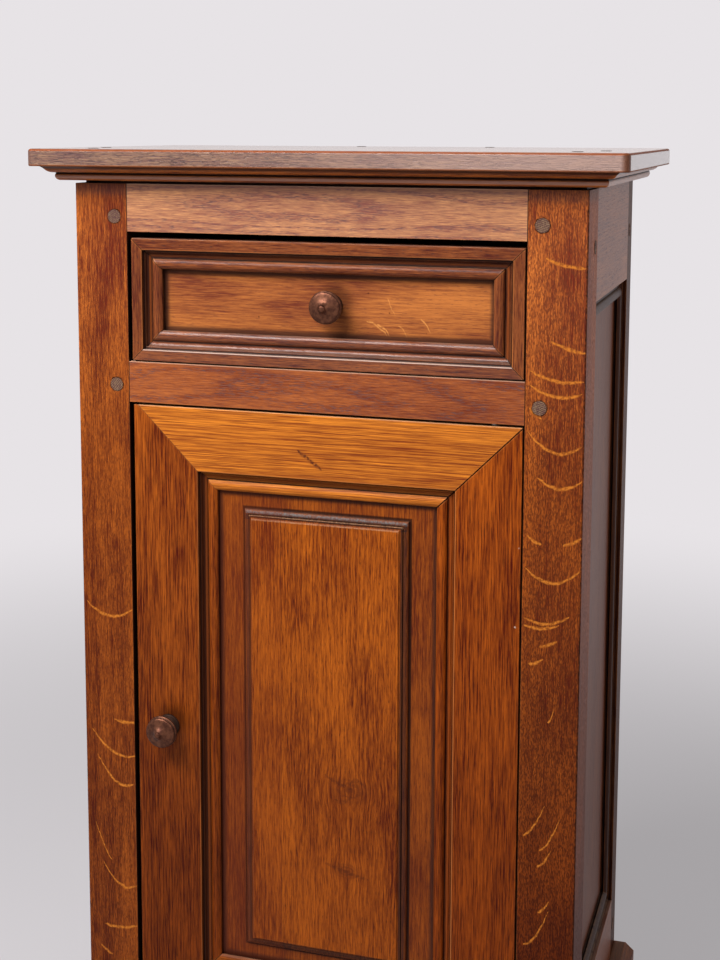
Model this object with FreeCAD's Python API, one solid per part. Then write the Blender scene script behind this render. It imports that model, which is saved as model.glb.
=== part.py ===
import FreeCAD, Part
import math
import os

# A small oak cupboard: one drawer over one panelled door, in a pegged frame of
# four posts and their rails, under a moulded top and on a bevelled plinth.
# Millimetres. X runs to the cupboard's right as its front is faced, Y to the back,
# Z up. The origin is on the floor, under the middle of the whole outline.

V = FreeCAD.Vector

# ---- Driving dimensions -------------------------------------------------------

case_width = 450.0            # over the outer faces of the posts
case_depth = 280.0            # front faces of the front posts to the back boards
case_height = 870.0           # floor to the tops of the posts

post_width = 49.0             # seen from the front
front_post_depth = 49.0
rear_post_depth = 30.0
post_arris = 1.2              # worn round on the outer upright edges

rail_thickness = 24.0         # front and side rails
top_rail_height = 41.5
drawer_opening_height = 113.9
middle_rail_height = 36.0
bottom_rail_height = 60.0
bottom_rail_reveal = 12.5     # what shows of it over the plinth
side_top_rail_height = 93.6
side_bottom_rail_top = 150.0  # above the floor
side_bottom_rail_height = 93.0

tenon_thickness = 8.0
tenon_length = 28.0           # of the rails that run across
side_tenon_length = 20.0      # of the rails that run front to back
tenon_shoulder = 6.0
mortise_side_clearance = 0.1
mortise_end_clearance = 1.0
peg_radius = 5.9
peg_depth = 22.0
side_peg_depth = 19.0
peg_inset = 12.0              # from the post's inner edge
front_peg_rises = (13.0, 15.0)    # above the lower edges of the top and middle rails
side_peg_rises = (46.0, 31.0)     # above the panel opening's top and below its foot
peg_proud = 0.3
peg_clearance = 0.02

side_panel_thickness = 8.0
side_panel_recess = 9.5
panel_groove_depth = 9.0
panel_edge_clearance = 1.5
panel_face_clearance = 0.05

slab_thickness = 15.2
slab_side_overhang = 34.0
slab_front_overhang = 25.0
slab_corner_radius = 6.0
slab_upper_arris = 3.0
slab_lower_arris = 0.8
top_moulding_height = 14.8
top_moulding_shadow_gap = 2.4
top_moulding_seat_start = 38.0    # inset from the slab's edge
top_moulding_width = 66.0
top_peg_radius = 4.5
top_peg_depth = 25.0
top_peg_inset = 12.0              # from the outer faces of a front post
side_top_peg_setback = 67.0       # behind the front of the case
side_top_peg_offset = 3.0         # outside the case's side
side_top_peg_cover = 2.0          # wood left under its end
rear_top_peg_places = (-43.0, 88.0)

plinth_height = 91.0
plinth_thickness = 20.0
plinth_bevel_width = 8.5
plinth_bevel_height = 7.5

back_board_thickness = 8.0
back_board_count = 3
back_board_gap = 0.6
back_board_lap = 6.0
back_rail_thickness = 22.0
floor_board_thickness = 12.0
shelf_thickness = 14.0
shelf_height = 395.0              # underside above the floor
shelf_front_setback = 40.0        # behind the front of the case
shelf_clearance = 0.3
cleat_size = 15.0
shelf_cleat_width = 12.0

moulding_width = 16.8             # the one moulding of door, drawer and sides
moulding_step = 3.4
moulding_fillet = 2.0
moulding_cove = 5.2
moulding_foot = 6.5               # depth of the cove and of the bead's edges
moulding_bead_top = 3.2
quirk_depth = 1.5
front_arris = 0.8                 # worn edge of the door's and the drawer's members

door_thickness = 22.0
door_face_width = 56.0            # flat face of the top rail and the hinge stile
lock_stile_face_width = 60.0
door_foot_face_width = 50.0
door_lock_gap = 4.0
door_hinge_gap = 1.2
door_head_gap = 2.2
door_foot_gap = 2.5
door_panel_seat = 9.0             # depth of the panel's border behind the door's face
door_panel_thickness = 7.6
open_mitre_gap = 0.7              # the dried-out joint at the hinge stile's head
field_side_margin = 24.0
field_head_margin = 14.5
field_edge_width = 8.4
field_rise = 6.5
field_bead_width = 4.6            # the round nose at the foot of the field's edge
field_bead_rise = 3.8
field_quirk = 0.7
pivot_inset = 25.0                # from the door's hinge edge
pivot_setback = 7.0               # behind the door's face
pivot_radius = 3.0
pivot_running_clearance = 0.05
pivot_in_door = 12.0
pivot_in_rail = 22.0
pivot_end_clearance = 1.0
pivot_collar_radius = 6.5
pivot_collar_clearance = 0.3
door_stop_size = 12.0
door_stop_length = 160.0
stop_clearance = 0.3

drawer_front_thickness = 20.0
drawer_face_width = 10.0
drawer_left_gap = 3.5
drawer_right_gap = 1.2
drawer_head_gap = 5.7
drawer_foot_gap = 1.2
drawer_panel_seat = 11.5
drawer_panel_thickness = 5.0
drawer_side_thickness = 10.0
drawer_side_inset = 8.6           # outer face of a side to the post's inner face
drawer_side_height = 84.0
drawer_box_length = 214.0         # behind the drawer front
drawer_side_housing = 6.0
drawer_floor_thickness = 5.0
drawer_floor_rise = 7.0
drawer_floor_groove = 4.0
drawer_running_clearance = 0.3
dovetail_count = 3
dovetail_neck = 12.0
dovetail_flare = 2.0
runner_width = 26.0
runner_thickness = 12.0
guide_height = 16.0
guide_clearance = 0.4
kicker_thickness = 12.0
kicker_clearance = 5.0
drawer_stop_length = 30.0
drawer_stop_height = 6.0
drawer_stop_place = 85.0

knob_length = 27.0
knob_radius = 14.2
knob_face_radius = 13.4
knob_screw_radius = 2.0
knob_screw_clearance = 0.2
knob_screw_in_knob = 11.0         # depth of its hole
knob_screw_end_clearance = 0.5
knob_screw_head_radius = 4.0
knob_screw_head_thickness = 2.4
screw_slot_width = 1.0
screw_slot_depth = 1.0
door_knob_height = 386.0
drawer_knob_offset = 7.0          # the knob sits a little right of the middle

overrun = 1.0                     # of a cutting shape past the piece it cuts
near = 0.01                       # within this, two places are the same

# ---- Places worked out from them ----------------------------------------------

half_case = case_width / 2
front = (knob_length - case_depth) / 2      # so that the whole outline is centred
back = front + case_depth
post_inner = half_case - post_width
front_post_back = front + front_post_depth
rear_post_front = back - rear_post_depth
rail_back = front + rail_thickness
side_rail_inner = half_case - rail_thickness

top_rail_bottom = case_height - top_rail_height
middle_rail_top = top_rail_bottom - drawer_opening_height
middle_rail_bottom = middle_rail_top - middle_rail_height
bottom_rail_top = plinth_height + bottom_rail_reveal
side_opening_top = case_height - side_top_rail_height
back_rail_back = back - back_board_thickness
back_rail_front = back_rail_back - back_rail_thickness

door_left = -post_inner + door_lock_gap
door_right = post_inner - door_hinge_gap
door_top = middle_rail_bottom - door_head_gap
door_bottom = bottom_rail_top + door_foot_gap
drawer_left = -post_inner + drawer_left_gap
drawer_right = post_inner - drawer_right_gap
drawer_top = top_rail_bottom - drawer_head_gap
drawer_bottom = middle_rail_top + drawer_foot_gap

slab_half_width = half_case + slab_side_overhang
slab_front = front - slab_front_overhang
slab_bottom = case_height + top_moulding_height
slab_top = slab_bottom + slab_thickness

pieces = {}


# ---- Shape helpers --------------------------------------------------------------

def box(x0, x1, y0, y1, z0, z1):
    """A plain board between two corners."""
    return Part.makeBox(x1 - x0, y1 - y0, z1 - z0, V(x0, y0, z0))


def rod(radius, start, end):
    """A round rod from one point to another."""
    axis = end.sub(start)
    return Part.makeCylinder(radius, axis.Length, start, axis)


def mirrored(shape):
    """The same piece on the other side of the cupboard."""
    return shape.mirror(V(0, 0, 0), V(1, 0, 0))


def section(start, steps):
    """A face in the plane of u (up, inwards from the outer edge) and d (depth).

    Each step is a point to go to in a straight line, or a pair of points for an
    arc through the first to the second.
    """
    edges = []
    here = V(0, start[1], start[0])
    for step in steps:
        if isinstance(step[0], tuple):
            middle = V(0, step[0][1], step[0][0])
            there = V(0, step[1][1], step[1][0])
            edges.append(Part.Arc(here, middle, there).toShape())
        else:
            there = V(0, step[1], step[0])
            edges.append(Part.LineSegment(here, there).toShape())
        here = there
    return Part.Face(Part.Wire(edges))


def mitred_bar(face, length, start_offset=None, end_offset=None):
    """A section run along +X, with each end mitred at 45 degrees or left square.

    An offset moves the mitre in along the bar, where two bars of unlike width meet.
    """
    bar = face.extrude(V(length, 0, 0))
    reach = 400.0
    depth = V(0, 2 * reach, 0)
    if start_offset is not None:
        corners = [
            V(start_offset - reach, -reach, -reach),
            V(start_offset + reach, -reach, reach),
            V(start_offset - reach, -reach, reach),
        ]
        wedge = Part.Face(Part.makePolygon(corners + corners[:1])).extrude(depth)
        bar = bar.cut(wedge)
    if end_offset is not None:
        end = length - end_offset
        corners = [
            V(end + reach, -reach, -reach),
            V(end - reach, -reach, reach),
            V(end + reach, -reach, reach),
        ]
        wedge = Part.Face(Part.makePolygon(corners + corners[:1])).extrude(depth)
        bar = bar.cut(wedge)
    return bar


def turned(shape, axis, degrees, to):
    """The shape turned about an axis through the origin, then moved."""
    result = shape.copy()
    result.rotate(V(0, 0, 0), axis, degrees)
    result.translate(to)
    return result


def mitred_frame(faces, widths, x0, x1, z0, z1, y):
    """Four mitred bars round a rectangle that faces -Y.

    faces and widths hold the section and the flat face's width of the bottom,
    right, top and left bars, in that order.
    """
    lengths = [x1 - x0, z1 - z0, x1 - x0, z1 - z0]
    corners = [V(x0, y, z0), V(x1, y, z0), V(x1, y, z1), V(x0, y, z1)]
    turns = [0, -90, 180, 90]
    bars = []
    for i in range(4):
        before = widths[i - 1] - widths[i]
        after = widths[(i + 1) % 4] - widths[i]
        bar = mitred_bar(faces[i], lengths[i], before, after)
        bars.append(turned(bar, V(0, 1, 0), turns[i], corners[i]))
    return bars


def round_three_sides(face, half_width, front_y, top_z):
    """A moulding round the front and both sides: its front, left and right runs.

    The section's u runs inwards from the outer edge and its d runs down.
    """
    lay_flat = V(1, 0, 0)
    front_bar = turned(mitred_bar(face, 2 * half_width, 0, 0), lay_flat, -90, V())
    front_bar.translate(V(-half_width, front_y, top_z))
    side_bar = turned(mitred_bar(face, back - front_y, 0, None), lay_flat, -90, V())
    right_bar = turned(side_bar, V(0, 0, 1), 90, V(half_width, front_y, top_z))
    return front_bar, mirrored(right_bar), right_bar


def moulding_steps(edge, lowest):
    """The moulding's outline from the face's inner edge down to a depth.

    A step down, a fillet, a cove and an astragal, then a quirk under its edge.
    """
    cove_start = edge + moulding_fillet
    bead_start = cove_start + moulding_cove
    bead_end = edge + moulding_width
    bead_middle = (bead_start + bead_end) / 2
    hollow = (cove_start + moulding_cove * 0.3, moulding_foot * 0.9)
    return [
        (edge, moulding_step),
        (cove_start, moulding_step),
        (hollow, (bead_start, moulding_foot)),
        ((bead_middle, moulding_bead_top), (bead_end, moulding_foot)),
        (bead_end - quirk_depth, moulding_foot + quirk_depth),
        (bead_end - quirk_depth, lowest),
    ]


def drill(names, tool):
    """Takes one hole through every piece named."""
    for name in names:
        pieces[name] = pieces[name].cut(tool)


# ---- Posts, rails and their pegged joints -----------------------------------------

def post(y0, y1):
    """The right-hand post, with its outer upright edge worn round."""
    shape = box(post_inner, half_case, y0, y1, 0, case_height)
    outer = front if y0 == front else back
    worn = []
    for edge in shape.Edges:
        middle = edge.CenterOfMass
        if abs(middle.x - half_case) < near and abs(middle.y - outer) < near:
            worn.append(edge)
    return shape.makeFillet(post_arris, worn)


pieces["post_front_right"] = post(front, front_post_back)
pieces["post_rear_right"] = post(rear_post_front, back)
for name in ("post_front", "post_rear"):
    pieces[name + "_left"] = mirrored(pieces[name + "_right"])


def cross_tenon(side, y_middle, z0, z1, grow=0.0):
    """The tenon at one end of a rail that runs across; grown, it is the mortise."""
    thick = tenon_thickness / 2 + grow * mortise_side_clearance
    end = post_inner + tenon_length + grow * mortise_end_clearance
    shoulder = tenon_shoulder - grow * mortise_end_clearance
    shape = box(post_inner, end, y_middle - thick, y_middle + thick, z0 + shoulder, z1 - shoulder)
    return shape if side > 0 else mirrored(shape)


def cross_rail(name, posts, y0, y1, z0, z1):
    """A rail between two posts, tenoned into both."""
    middle = (y0 + y1) / 2
    rail = box(-post_inner, post_inner, y0, y1, z0, z1)
    for side, end in ((-1, "_left"), (1, "_right")):
        rail = rail.fuse(cross_tenon(side, middle, z0, z1))
        drill([posts + end], cross_tenon(side, middle, z0, z1, 1))
    pieces[name] = rail.removeSplitter()


cross_rail("front_top_rail", "post_front", front, rail_back, top_rail_bottom, case_height)
cross_rail("front_middle_rail", "post_front", front, rail_back, middle_rail_bottom, middle_rail_top)
bottom_rail_bottom = bottom_rail_top - bottom_rail_height
cross_rail("front_bottom_rail", "post_front", front, rail_back, bottom_rail_bottom, bottom_rail_top)
cross_rail("back_top_rail", "post_rear", back_rail_front, back_rail_back, top_rail_bottom, case_height)
cross_rail(
    "back_middle_rail", "post_rear",
    back_rail_front, back_rail_back, middle_rail_bottom, middle_rail_top,
)
cross_rail(
    "back_bottom_rail", "post_rear",
    back_rail_front, back_rail_back, bottom_rail_bottom, bottom_rail_top,
)


def side_tenons(z0, z1, grow=0.0):
    """The two tenons of a side rail; grown, they are its mortises."""
    middle = half_case - rail_thickness / 2
    thick = tenon_thickness / 2 + grow * mortise_side_clearance
    shoulder = tenon_shoulder - grow * mortise_end_clearance
    reach = side_tenon_length + grow * mortise_end_clearance
    tenons = []
    for y0, y1 in ((front_post_back - reach, front_post_back),
                   (rear_post_front, rear_post_front + reach)):
        tenons.append(box(middle - thick, middle + thick, y0, y1, z0 + shoulder, z1 - shoulder))
    return tenons


def panel_space(grow):
    """The side panel as a slab in its grooves; grown, it is the grooves."""
    outer = half_case - side_panel_recess + grow * panel_face_clearance
    inner = outer - side_panel_thickness - 2 * grow * panel_face_clearance
    edge = panel_groove_depth - panel_edge_clearance * (1 - grow)
    return box(
        inner, outer, front_post_back - edge, rear_post_front + edge,
        side_bottom_rail_top - edge, side_opening_top + edge,
    )


def side_rail(name, z0, z1):
    """A right-hand side rail, flush with the posts and grooved for the panel."""
    rail = box(side_rail_inner, half_case, front_post_back, rear_post_front, z0, z1)
    for tenon in side_tenons(z0, z1):
        rail = rail.fuse(tenon)
    for mortise, side_post in zip(side_tenons(z0, z1, 1), ("post_front_right", "post_rear_right")):
        drill([side_post], mortise)
        drill([side_post.replace("right", "left")], mirrored(mortise))
    rail = rail.removeSplitter().cut(panel_space(1))
    pieces[name + "_right"] = rail
    pieces[name + "_left"] = mirrored(rail)


side_bottom_rail_bottom = side_bottom_rail_top - side_bottom_rail_height
side_rail("side_top_rail", side_opening_top, case_height)
side_rail("side_bottom_rail", side_bottom_rail_bottom, side_bottom_rail_top)
drill(["post_front_right", "post_rear_right"], panel_space(1))
drill(["post_front_left", "post_rear_left"], mirrored(panel_space(1)))
pieces["side_panel_right"] = panel_space(0)
pieces["side_panel_left"] = mirrored(panel_space(0))

# The side panel's moulding is planted in the corner between frame and panel.
planted = section(
    (0, side_panel_recess),
    moulding_steps(0, side_panel_recess) + [(0, side_panel_recess)],
)
side_bars = mitred_frame(
    [planted] * 4, [0] * 4,
    0, rear_post_front - front_post_back, side_bottom_rail_top, side_opening_top, 0,
)
side_moulding = Part.makeCompound(
    [turned(bar, V(0, 0, 1), 90, V(half_case, front_post_back, 0)) for bar in side_bars]
)
pieces["side_moulding_right"] = side_moulding
pieces["side_moulding_left"] = mirrored(side_moulding)

# Draw-bored pegs: through the front of each post and the tenon behind it.
front_peg_heights = (
    top_rail_bottom + front_peg_rises[0],
    middle_rail_bottom + front_peg_rises[1],
    bottom_rail_top - bottom_rail_reveal / 2,
)
side_peg_heights = (
    side_opening_top + side_peg_rises[0],
    side_bottom_rail_top - side_peg_rises[1],
)
pegs = []


def peg(start, inwards, depth, radius, crossed):
    """One peg that stands a little proud, and its hole in the pieces it crosses."""
    outer = start.sub(V(inwards).multiply(peg_proud))
    inner = start.add(V(inwards).multiply(depth))
    drill(crossed, rod(radius, outer, inner))
    return rod(radius - peg_clearance, outer, inner)


for side, end in ((-1, "_left"), (1, "_right")):
    rails = ("front_top_rail", "front_middle_rail", "front_bottom_rail")
    for height, rail in zip(front_peg_heights, rails):
        place = V(side * (post_inner + peg_inset), front, height)
        pegs.append(peg(place, V(0, 1, 0), peg_depth, peg_radius, ["post_front" + end, rail]))
    for height, rail in zip(side_peg_heights, ("side_top_rail", "side_bottom_rail")):
        for y, corner in ((front_post_back - peg_inset, "post_front"),
                          (rear_post_front + peg_inset, "post_rear")):
            place = V(side * half_case, y, height)
            crossed = [corner + end, rail + end]
            pegs.append(peg(place, V(-side, 0, 0), side_peg_depth, peg_radius, crossed))
pieces["case_pegs"] = Part.makeCompound(pegs)

# ---- Plinth ----------------------------------------------------------------------------

plinth_section = section(
    (0, plinth_height),
    [
        (0, plinth_bevel_height),
        (plinth_bevel_width, 0),
        (plinth_thickness, 0),
        (plinth_thickness, plinth_height),
        (0, plinth_height),
    ],
)
plinth = round_three_sides(
    plinth_section, half_case + plinth_thickness, front - plinth_thickness, plinth_height
)
pieces["plinth_front"], pieces["plinth_left"], pieces["plinth_right"] = plinth

# ---- Top board and the moulding under it -------------------------------------------------

slab = box(-slab_half_width, slab_half_width, slab_front, back, slab_bottom, slab_top)


def edges_where(shape, test):
    """The shape's edges whose middle point passes a test."""
    return [edge for edge in shape.Edges if test(edge.CenterOfMass)]


slab_middle_height = (slab_bottom + slab_top) / 2
slab = slab.makeFillet(
    slab_corner_radius,
    edges_where(slab, lambda p: abs(p.z - slab_middle_height) < near and p.y < 0),
)
slab = slab.makeFillet(
    slab_upper_arris,
    edges_where(slab, lambda p: abs(p.z - slab_top) < near and p.y < back - near),
)
slab = slab.makeChamfer(
    slab_lower_arris,
    edges_where(slab, lambda p: abs(p.z - slab_bottom) < near and p.y < back - near),
)
pieces["top_board"] = slab

# Ogee, then a quirk and a half-round bead, with a shadow gap over the case.
bead_bottom = top_moulding_height - top_moulding_shadow_gap
top_moulding_section = section(
    (8.0, 0),
    [
        ((10.0, 1.3), (11.2, 2.4)),
        ((13.4, 4.5), (17.6, 5.6)),
        (19.0, 6.0),
        ((18.2, 9.2), (21.4, bead_bottom)),
        (top_moulding_seat_start, bead_bottom),
        (top_moulding_seat_start, top_moulding_height),
        (top_moulding_width, top_moulding_height),
        (top_moulding_width, 0),
        (8.0, 0),
    ],
)
top_moulding = round_three_sides(
    top_moulding_section, slab_half_width, slab_front, slab_bottom
)
(
    pieces["top_moulding_front"],
    pieces["top_moulding_left"],
    pieces["top_moulding_right"],
) = top_moulding

top_pegs = []
top_peg_length = slab_top - case_height + top_peg_depth
moulding_peg_length = slab_thickness + bead_bottom - side_top_peg_cover
for side, end in ((-1, "_left"), (1, "_right")):
    corner = V(side * (half_case - top_peg_inset), front + top_peg_inset, slab_top)
    crossed = ["top_board", "top_moulding_front", "top_moulding" + end, "post_front" + end]
    top_pegs.append(peg(corner, V(0, 0, -1), top_peg_length, top_peg_radius, crossed))
    along = V(side * (half_case + side_top_peg_offset), front + side_top_peg_setback, slab_top)
    crossed = ["top_board", "top_moulding" + end]
    top_pegs.append(peg(along, V(0, 0, -1), moulding_peg_length, top_peg_radius, crossed))
rear_peg_y = (back_rail_front + back_rail_back) / 2
rear_seat = box(
    -post_inner, post_inner, back_rail_front, back_rail_back, case_height, slab_bottom
)
pieces["back_top_rail"] = pieces["back_top_rail"].fuse(rear_seat).removeSplitter()
for x in rear_top_peg_places:
    place = V(x, rear_peg_y, slab_top)
    top_pegs.append(
        peg(place, V(0, 0, -1), top_peg_length, top_peg_radius, ["top_board", "back_top_rail"])
    )
pieces["top_pegs"] = Part.makeCompound(top_pegs)

# ---- Back, cupboard floor and shelf ----------------------------------------------------------

board_pitch = 2 * post_inner / back_board_count
for i, name in enumerate(("back_board_left", "back_board_middle", "back_board_right")):
    x0 = -post_inner + i * board_pitch
    x1 = x0 + board_pitch
    split = (back_rail_back + back) / 2
    left = x0 if i == 0 else x0 + back_board_gap
    board = box(left, x1, back_rail_back, split, bottom_rail_bottom, case_height)
    right = x1 if i == back_board_count - 1 else x1 + back_board_lap
    outer_left = x0 if i == 0 else x0 + back_board_lap + back_board_gap
    board = board.fuse(box(outer_left, right, split, back, bottom_rail_bottom, case_height))
    pieces[name] = board.removeSplitter()


def notched_board(z0, z1, y0, y1, half_width, clearance):
    """A board that fills the case, cut out round the posts."""
    board = box(-half_width, half_width, y0, y1, z0, z1)
    inner = post_inner - clearance
    for side in (-1, 1):
        for py0, py1 in ((front, front_post_back + clearance), (rear_post_front - clearance, back)):
            cut = box(inner, half_case, py0, py1, z0, z1)
            board = board.cut(cut if side > 0 else mirrored(cut))
    return board


pieces["bottom_board"] = notched_board(
    bottom_rail_top - floor_board_thickness, bottom_rail_top,
    rail_back, back_rail_front, side_rail_inner, 0,
)
side_panel_inner = half_case - side_panel_recess - side_panel_thickness
pieces["shelf"] = notched_board(
    shelf_height, shelf_height + shelf_thickness,
    front + shelf_front_setback, back_rail_back - shelf_clearance,
    side_panel_inner - 2 * shelf_clearance, shelf_clearance,
)
floor_cleat_top = bottom_rail_top - floor_board_thickness
floor_cleat = box(
    side_rail_inner - cleat_size, side_rail_inner, front_post_back, rear_post_front,
    floor_cleat_top - cleat_size, floor_cleat_top,
)
pieces["bottom_cleats"] = Part.makeCompound([mirrored(floor_cleat), floor_cleat])
shelf_cleat = box(
    post_inner - shelf_cleat_width, post_inner, front + shelf_front_setback, back_rail_back,
    shelf_height - cleat_size, shelf_height,
)
pieces["shelf_cleats"] = Part.makeCompound([mirrored(shelf_cleat), shelf_cleat])

# ---- Drawer runners, kickers and stops -----------------------------------------------------------

drawer_side_outer = post_inner - drawer_side_inset
guide_inner = drawer_side_outer + guide_clearance
runner = box(
    post_inner - runner_width, post_inner, rail_back, back_rail_front,
    middle_rail_top - runner_thickness, middle_rail_top,
)
guide = box(
    guide_inner, post_inner, rail_back, back_rail_front,
    middle_rail_top, middle_rail_top + guide_height,
)
runner = runner.fuse(guide).removeSplitter()
pieces["drawer_runner_right"] = runner
pieces["drawer_runner_left"] = mirrored(runner)

drawer_side_bottom = middle_rail_top + drawer_running_clearance
drawer_side_top = drawer_side_bottom + drawer_side_height
kicker_bottom = drawer_side_top + kicker_clearance
kicker = box(
    post_inner - runner_width, post_inner, rail_back, back_rail_front,
    kicker_bottom, kicker_bottom + kicker_thickness,
)
pieces["drawer_kickers"] = Part.makeCompound([mirrored(kicker), kicker])

drawer_front_back = front + drawer_front_thickness
stop = box(
    drawer_stop_place - drawer_stop_length / 2, drawer_stop_place + drawer_stop_length / 2,
    drawer_front_back + stop_clearance, rail_back,
    middle_rail_top, middle_rail_top + drawer_stop_height,
)
pieces["drawer_stops"] = Part.makeCompound([mirrored(stop), stop])

door_back = front + door_thickness
pieces["door_stop"] = box(
    -post_inner, -post_inner + door_stop_size,
    door_back + stop_clearance, door_back + stop_clearance + door_stop_size,
    door_knob_height - door_stop_length / 2, door_knob_height + door_stop_length / 2,
)


# ---- Framed fronts: door and drawer -----------------------------------------------------------------

def frame_section(face_width, thickness, seat, panel_thickness):
    """A stile or rail: flat face, moulding worked on its edge, groove behind it."""
    inner = face_width + moulding_width - quirk_depth
    groove_end = inner - panel_groove_depth
    groove_back = seat + panel_thickness
    steps = [(face_width, 0)]
    steps += moulding_steps(face_width, seat)
    steps += [
        (groove_end, seat),
        (groove_end, groove_back),
        (inner, groove_back),
        (inner, thickness),
        (0, thickness),
        (0, front_arris),
        ((front_arris * 0.3, front_arris * 0.3), (front_arris, 0)),
    ]
    return section((front_arris, 0), steps)


def knob():
    """A turned metal knob: rosette, waisted neck, two rings and a bell-shaped face."""
    ring = knob_radius
    face = knob_face_radius
    outline = [
        (0, 0), (10.0, 0), (10.0, 1.4), (6.6, 2.8), (4.6, 4.8), (4.6, 8.6), (5.6, 11.4),
        (7.6, 13.4), (ring - 0.8, 14.4), (ring, 15.2), (ring, 16.4), (ring - 1.8, 17.2),
        (face, 18.6), (face, 19.6), (face - 1.2, 20.5), (9.0, 21.2), (6.0, 22.4), (4.0, 23.8),
        (2.8, 25.2), (2.4, 26.4), (1.4, knob_length), (0, knob_length), (0, 0),
    ]
    points = [V(radius, 0, height) for radius, height in outline]
    solid = Part.Face(Part.makePolygon(points)).revolve(V(0, 0, 0), V(0, 0, 1), 360)
    hole = Part.makeCylinder(knob_screw_radius, knob_screw_in_knob, V(0, 0, 0))
    return solid.cut(hole)


def knob_screw(wood):
    """The slotted screw that holds a knob through wood of that thickness."""
    shank_end = knob_screw_in_knob - knob_screw_end_clearance
    shank = rod(knob_screw_radius, V(0, 0, -wood), V(0, 0, shank_end))
    head_end = -wood - knob_screw_head_thickness
    head = rod(knob_screw_head_radius, V(0, 0, head_end), V(0, 0, -wood))
    slot = box(
        -knob_screw_head_radius, knob_screw_head_radius,
        -screw_slot_width / 2, screw_slot_width / 2, head_end, head_end + screw_slot_depth,
    )
    return shank.fuse(head).cut(slot)


def fit_knob(owner, carrier, x, face_y, z, wood):
    """Puts a knob and its screw on a face, with the hole through the wood."""
    place = V(x, face_y, z)
    pieces[owner + "_knob"] = turned(knob(), V(1, 0, 0), 90, place)
    pieces[owner + "_knob_screw"] = turned(knob_screw(wood), V(1, 0, 0), 90, place)
    bore = knob_screw_radius + knob_screw_clearance
    drill([carrier], rod(bore, V(x, face_y, z), V(x, face_y + wood, z)))


# ---- Door -------------------------------------------------------------------------------------------

door_names = ("door_bottom_rail", "door_hinge_stile", "door_top_rail", "door_lock_stile")
door_widths = [door_foot_face_width, door_face_width, door_face_width, lock_stile_face_width]
door_faces = [
    frame_section(width, door_thickness, door_panel_seat, door_panel_thickness)
    for width in door_widths
]
door_bars = mitred_frame(
    door_faces, door_widths, door_left, door_right, door_bottom, door_top, front
)
for name, bar in zip(door_names, door_bars):
    pieces[name] = bar

# The top mitre on the hinge side has dried open: a thin wedge is gone from the stile.
mitre_corner_x = door_right - door_face_width
mitre_corner_z = door_top - door_face_width
reach = door_face_width + moulding_width
mitre_drop = V(0, 0, -open_mitre_gap * math.sqrt(2))
mitre_inner = V(mitre_corner_x - reach, front - overrun, mitre_corner_z - reach)
mitre_outer = V(door_right + overrun, front - overrun, door_top + overrun)
mitre_gap_corners = [
    mitre_inner, mitre_outer, mitre_outer.add(mitre_drop), mitre_inner.add(mitre_drop),
]
sliver = Part.Face(Part.makePolygon(mitre_gap_corners + mitre_gap_corners[:1]))
sliver = sliver.extrude(V(0, door_thickness + 2 * overrun, 0))
drill(["door_hinge_stile"], sliver)


def raised_panel(x0, x1, z0, z1, field_x0, field_x1, field_z0, field_z1, y):
    """A panel with a raised field: a round nose, a quirk and a fillet at its edge."""
    board = box(x0, x1, y, y + door_panel_thickness, z0, z1)
    width = field_edge_width
    rise = field_rise
    nose = field_bead_width
    fillet = (rise + field_bead_rise) / 2
    quirk = field_quirk
    stepped = section(
        (0, 0),
        [
            ((nose * 0.3, -field_bead_rise * 0.75), (nose, -field_bead_rise)),
            (nose, -field_bead_rise + quirk),
            (nose + quirk, -field_bead_rise + quirk),
            (nose + quirk, -fillet),
            (width - quirk, -fillet),
            (width, -rise),
            (width, 0),
            (0, 0),
        ],
    )
    bars = mitred_frame([stepped] * 4, [0] * 4, field_x0, field_x1, field_z0, field_z1, y)
    field = box(
        field_x0 + width, field_x1 - width, y - rise, y, field_z0 + width, field_z1 - width
    )
    for bar in bars:
        board = board.fuse(bar)
    return board.fuse(field).removeSplitter()


panel_tuck = moulding_width - quirk_depth - panel_groove_depth + panel_edge_clearance
pieces["door_panel"] = raised_panel(
    door_left + lock_stile_face_width + panel_tuck,
    door_right - door_face_width - panel_tuck,
    door_bottom + door_foot_face_width + panel_tuck,
    door_top - door_face_width - panel_tuck,
    door_left + lock_stile_face_width + moulding_width + field_side_margin,
    door_right - door_face_width - moulding_width - field_side_margin,
    door_bottom + door_foot_face_width + moulding_width + field_head_margin,
    door_top - door_face_width - moulding_width - field_head_margin,
    front + door_panel_seat,
)
door_knob_x = door_left + lock_stile_face_width / 2
fit_knob("door", "door_lock_stile", door_knob_x, front, door_knob_height, door_thickness)

# Pivot pins: steel, driven into the rails, turning in the ends of the door.
pivot_x = door_right - pivot_inset
pivot_y = front + pivot_setback
pin_top = rod(
    pivot_radius,
    V(pivot_x, pivot_y, door_top - pivot_in_door),
    V(pivot_x, pivot_y, middle_rail_bottom + pivot_in_rail),
)
collar_height = door_foot_gap - pivot_collar_clearance
pin_bottom = rod(
    pivot_radius,
    V(pivot_x, pivot_y, bottom_rail_top - pivot_in_rail),
    V(pivot_x, pivot_y, door_bottom + pivot_in_door),
)
collar = rod(
    pivot_collar_radius,
    V(pivot_x, pivot_y, bottom_rail_top),
    V(pivot_x, pivot_y, bottom_rail_top + collar_height),
)
pieces["pivot_pin_top"] = pin_top
pieces["pivot_pin_bottom"] = pin_bottom.fuse(collar)
drill(["front_middle_rail"], pin_top)
drill(["front_bottom_rail"], pin_bottom)
bush = pivot_radius + pivot_running_clearance
for name, end, inner in (
    ("door_top_rail", door_top, door_top - pivot_in_door - pivot_end_clearance),
    ("door_bottom_rail", door_bottom, door_bottom + pivot_in_door + pivot_end_clearance),
):
    drill([name], rod(bush, V(pivot_x, pivot_y, end), V(pivot_x, pivot_y, inner)))

# ---- Drawer ---------------------------------------------------------------------------------------------

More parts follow.
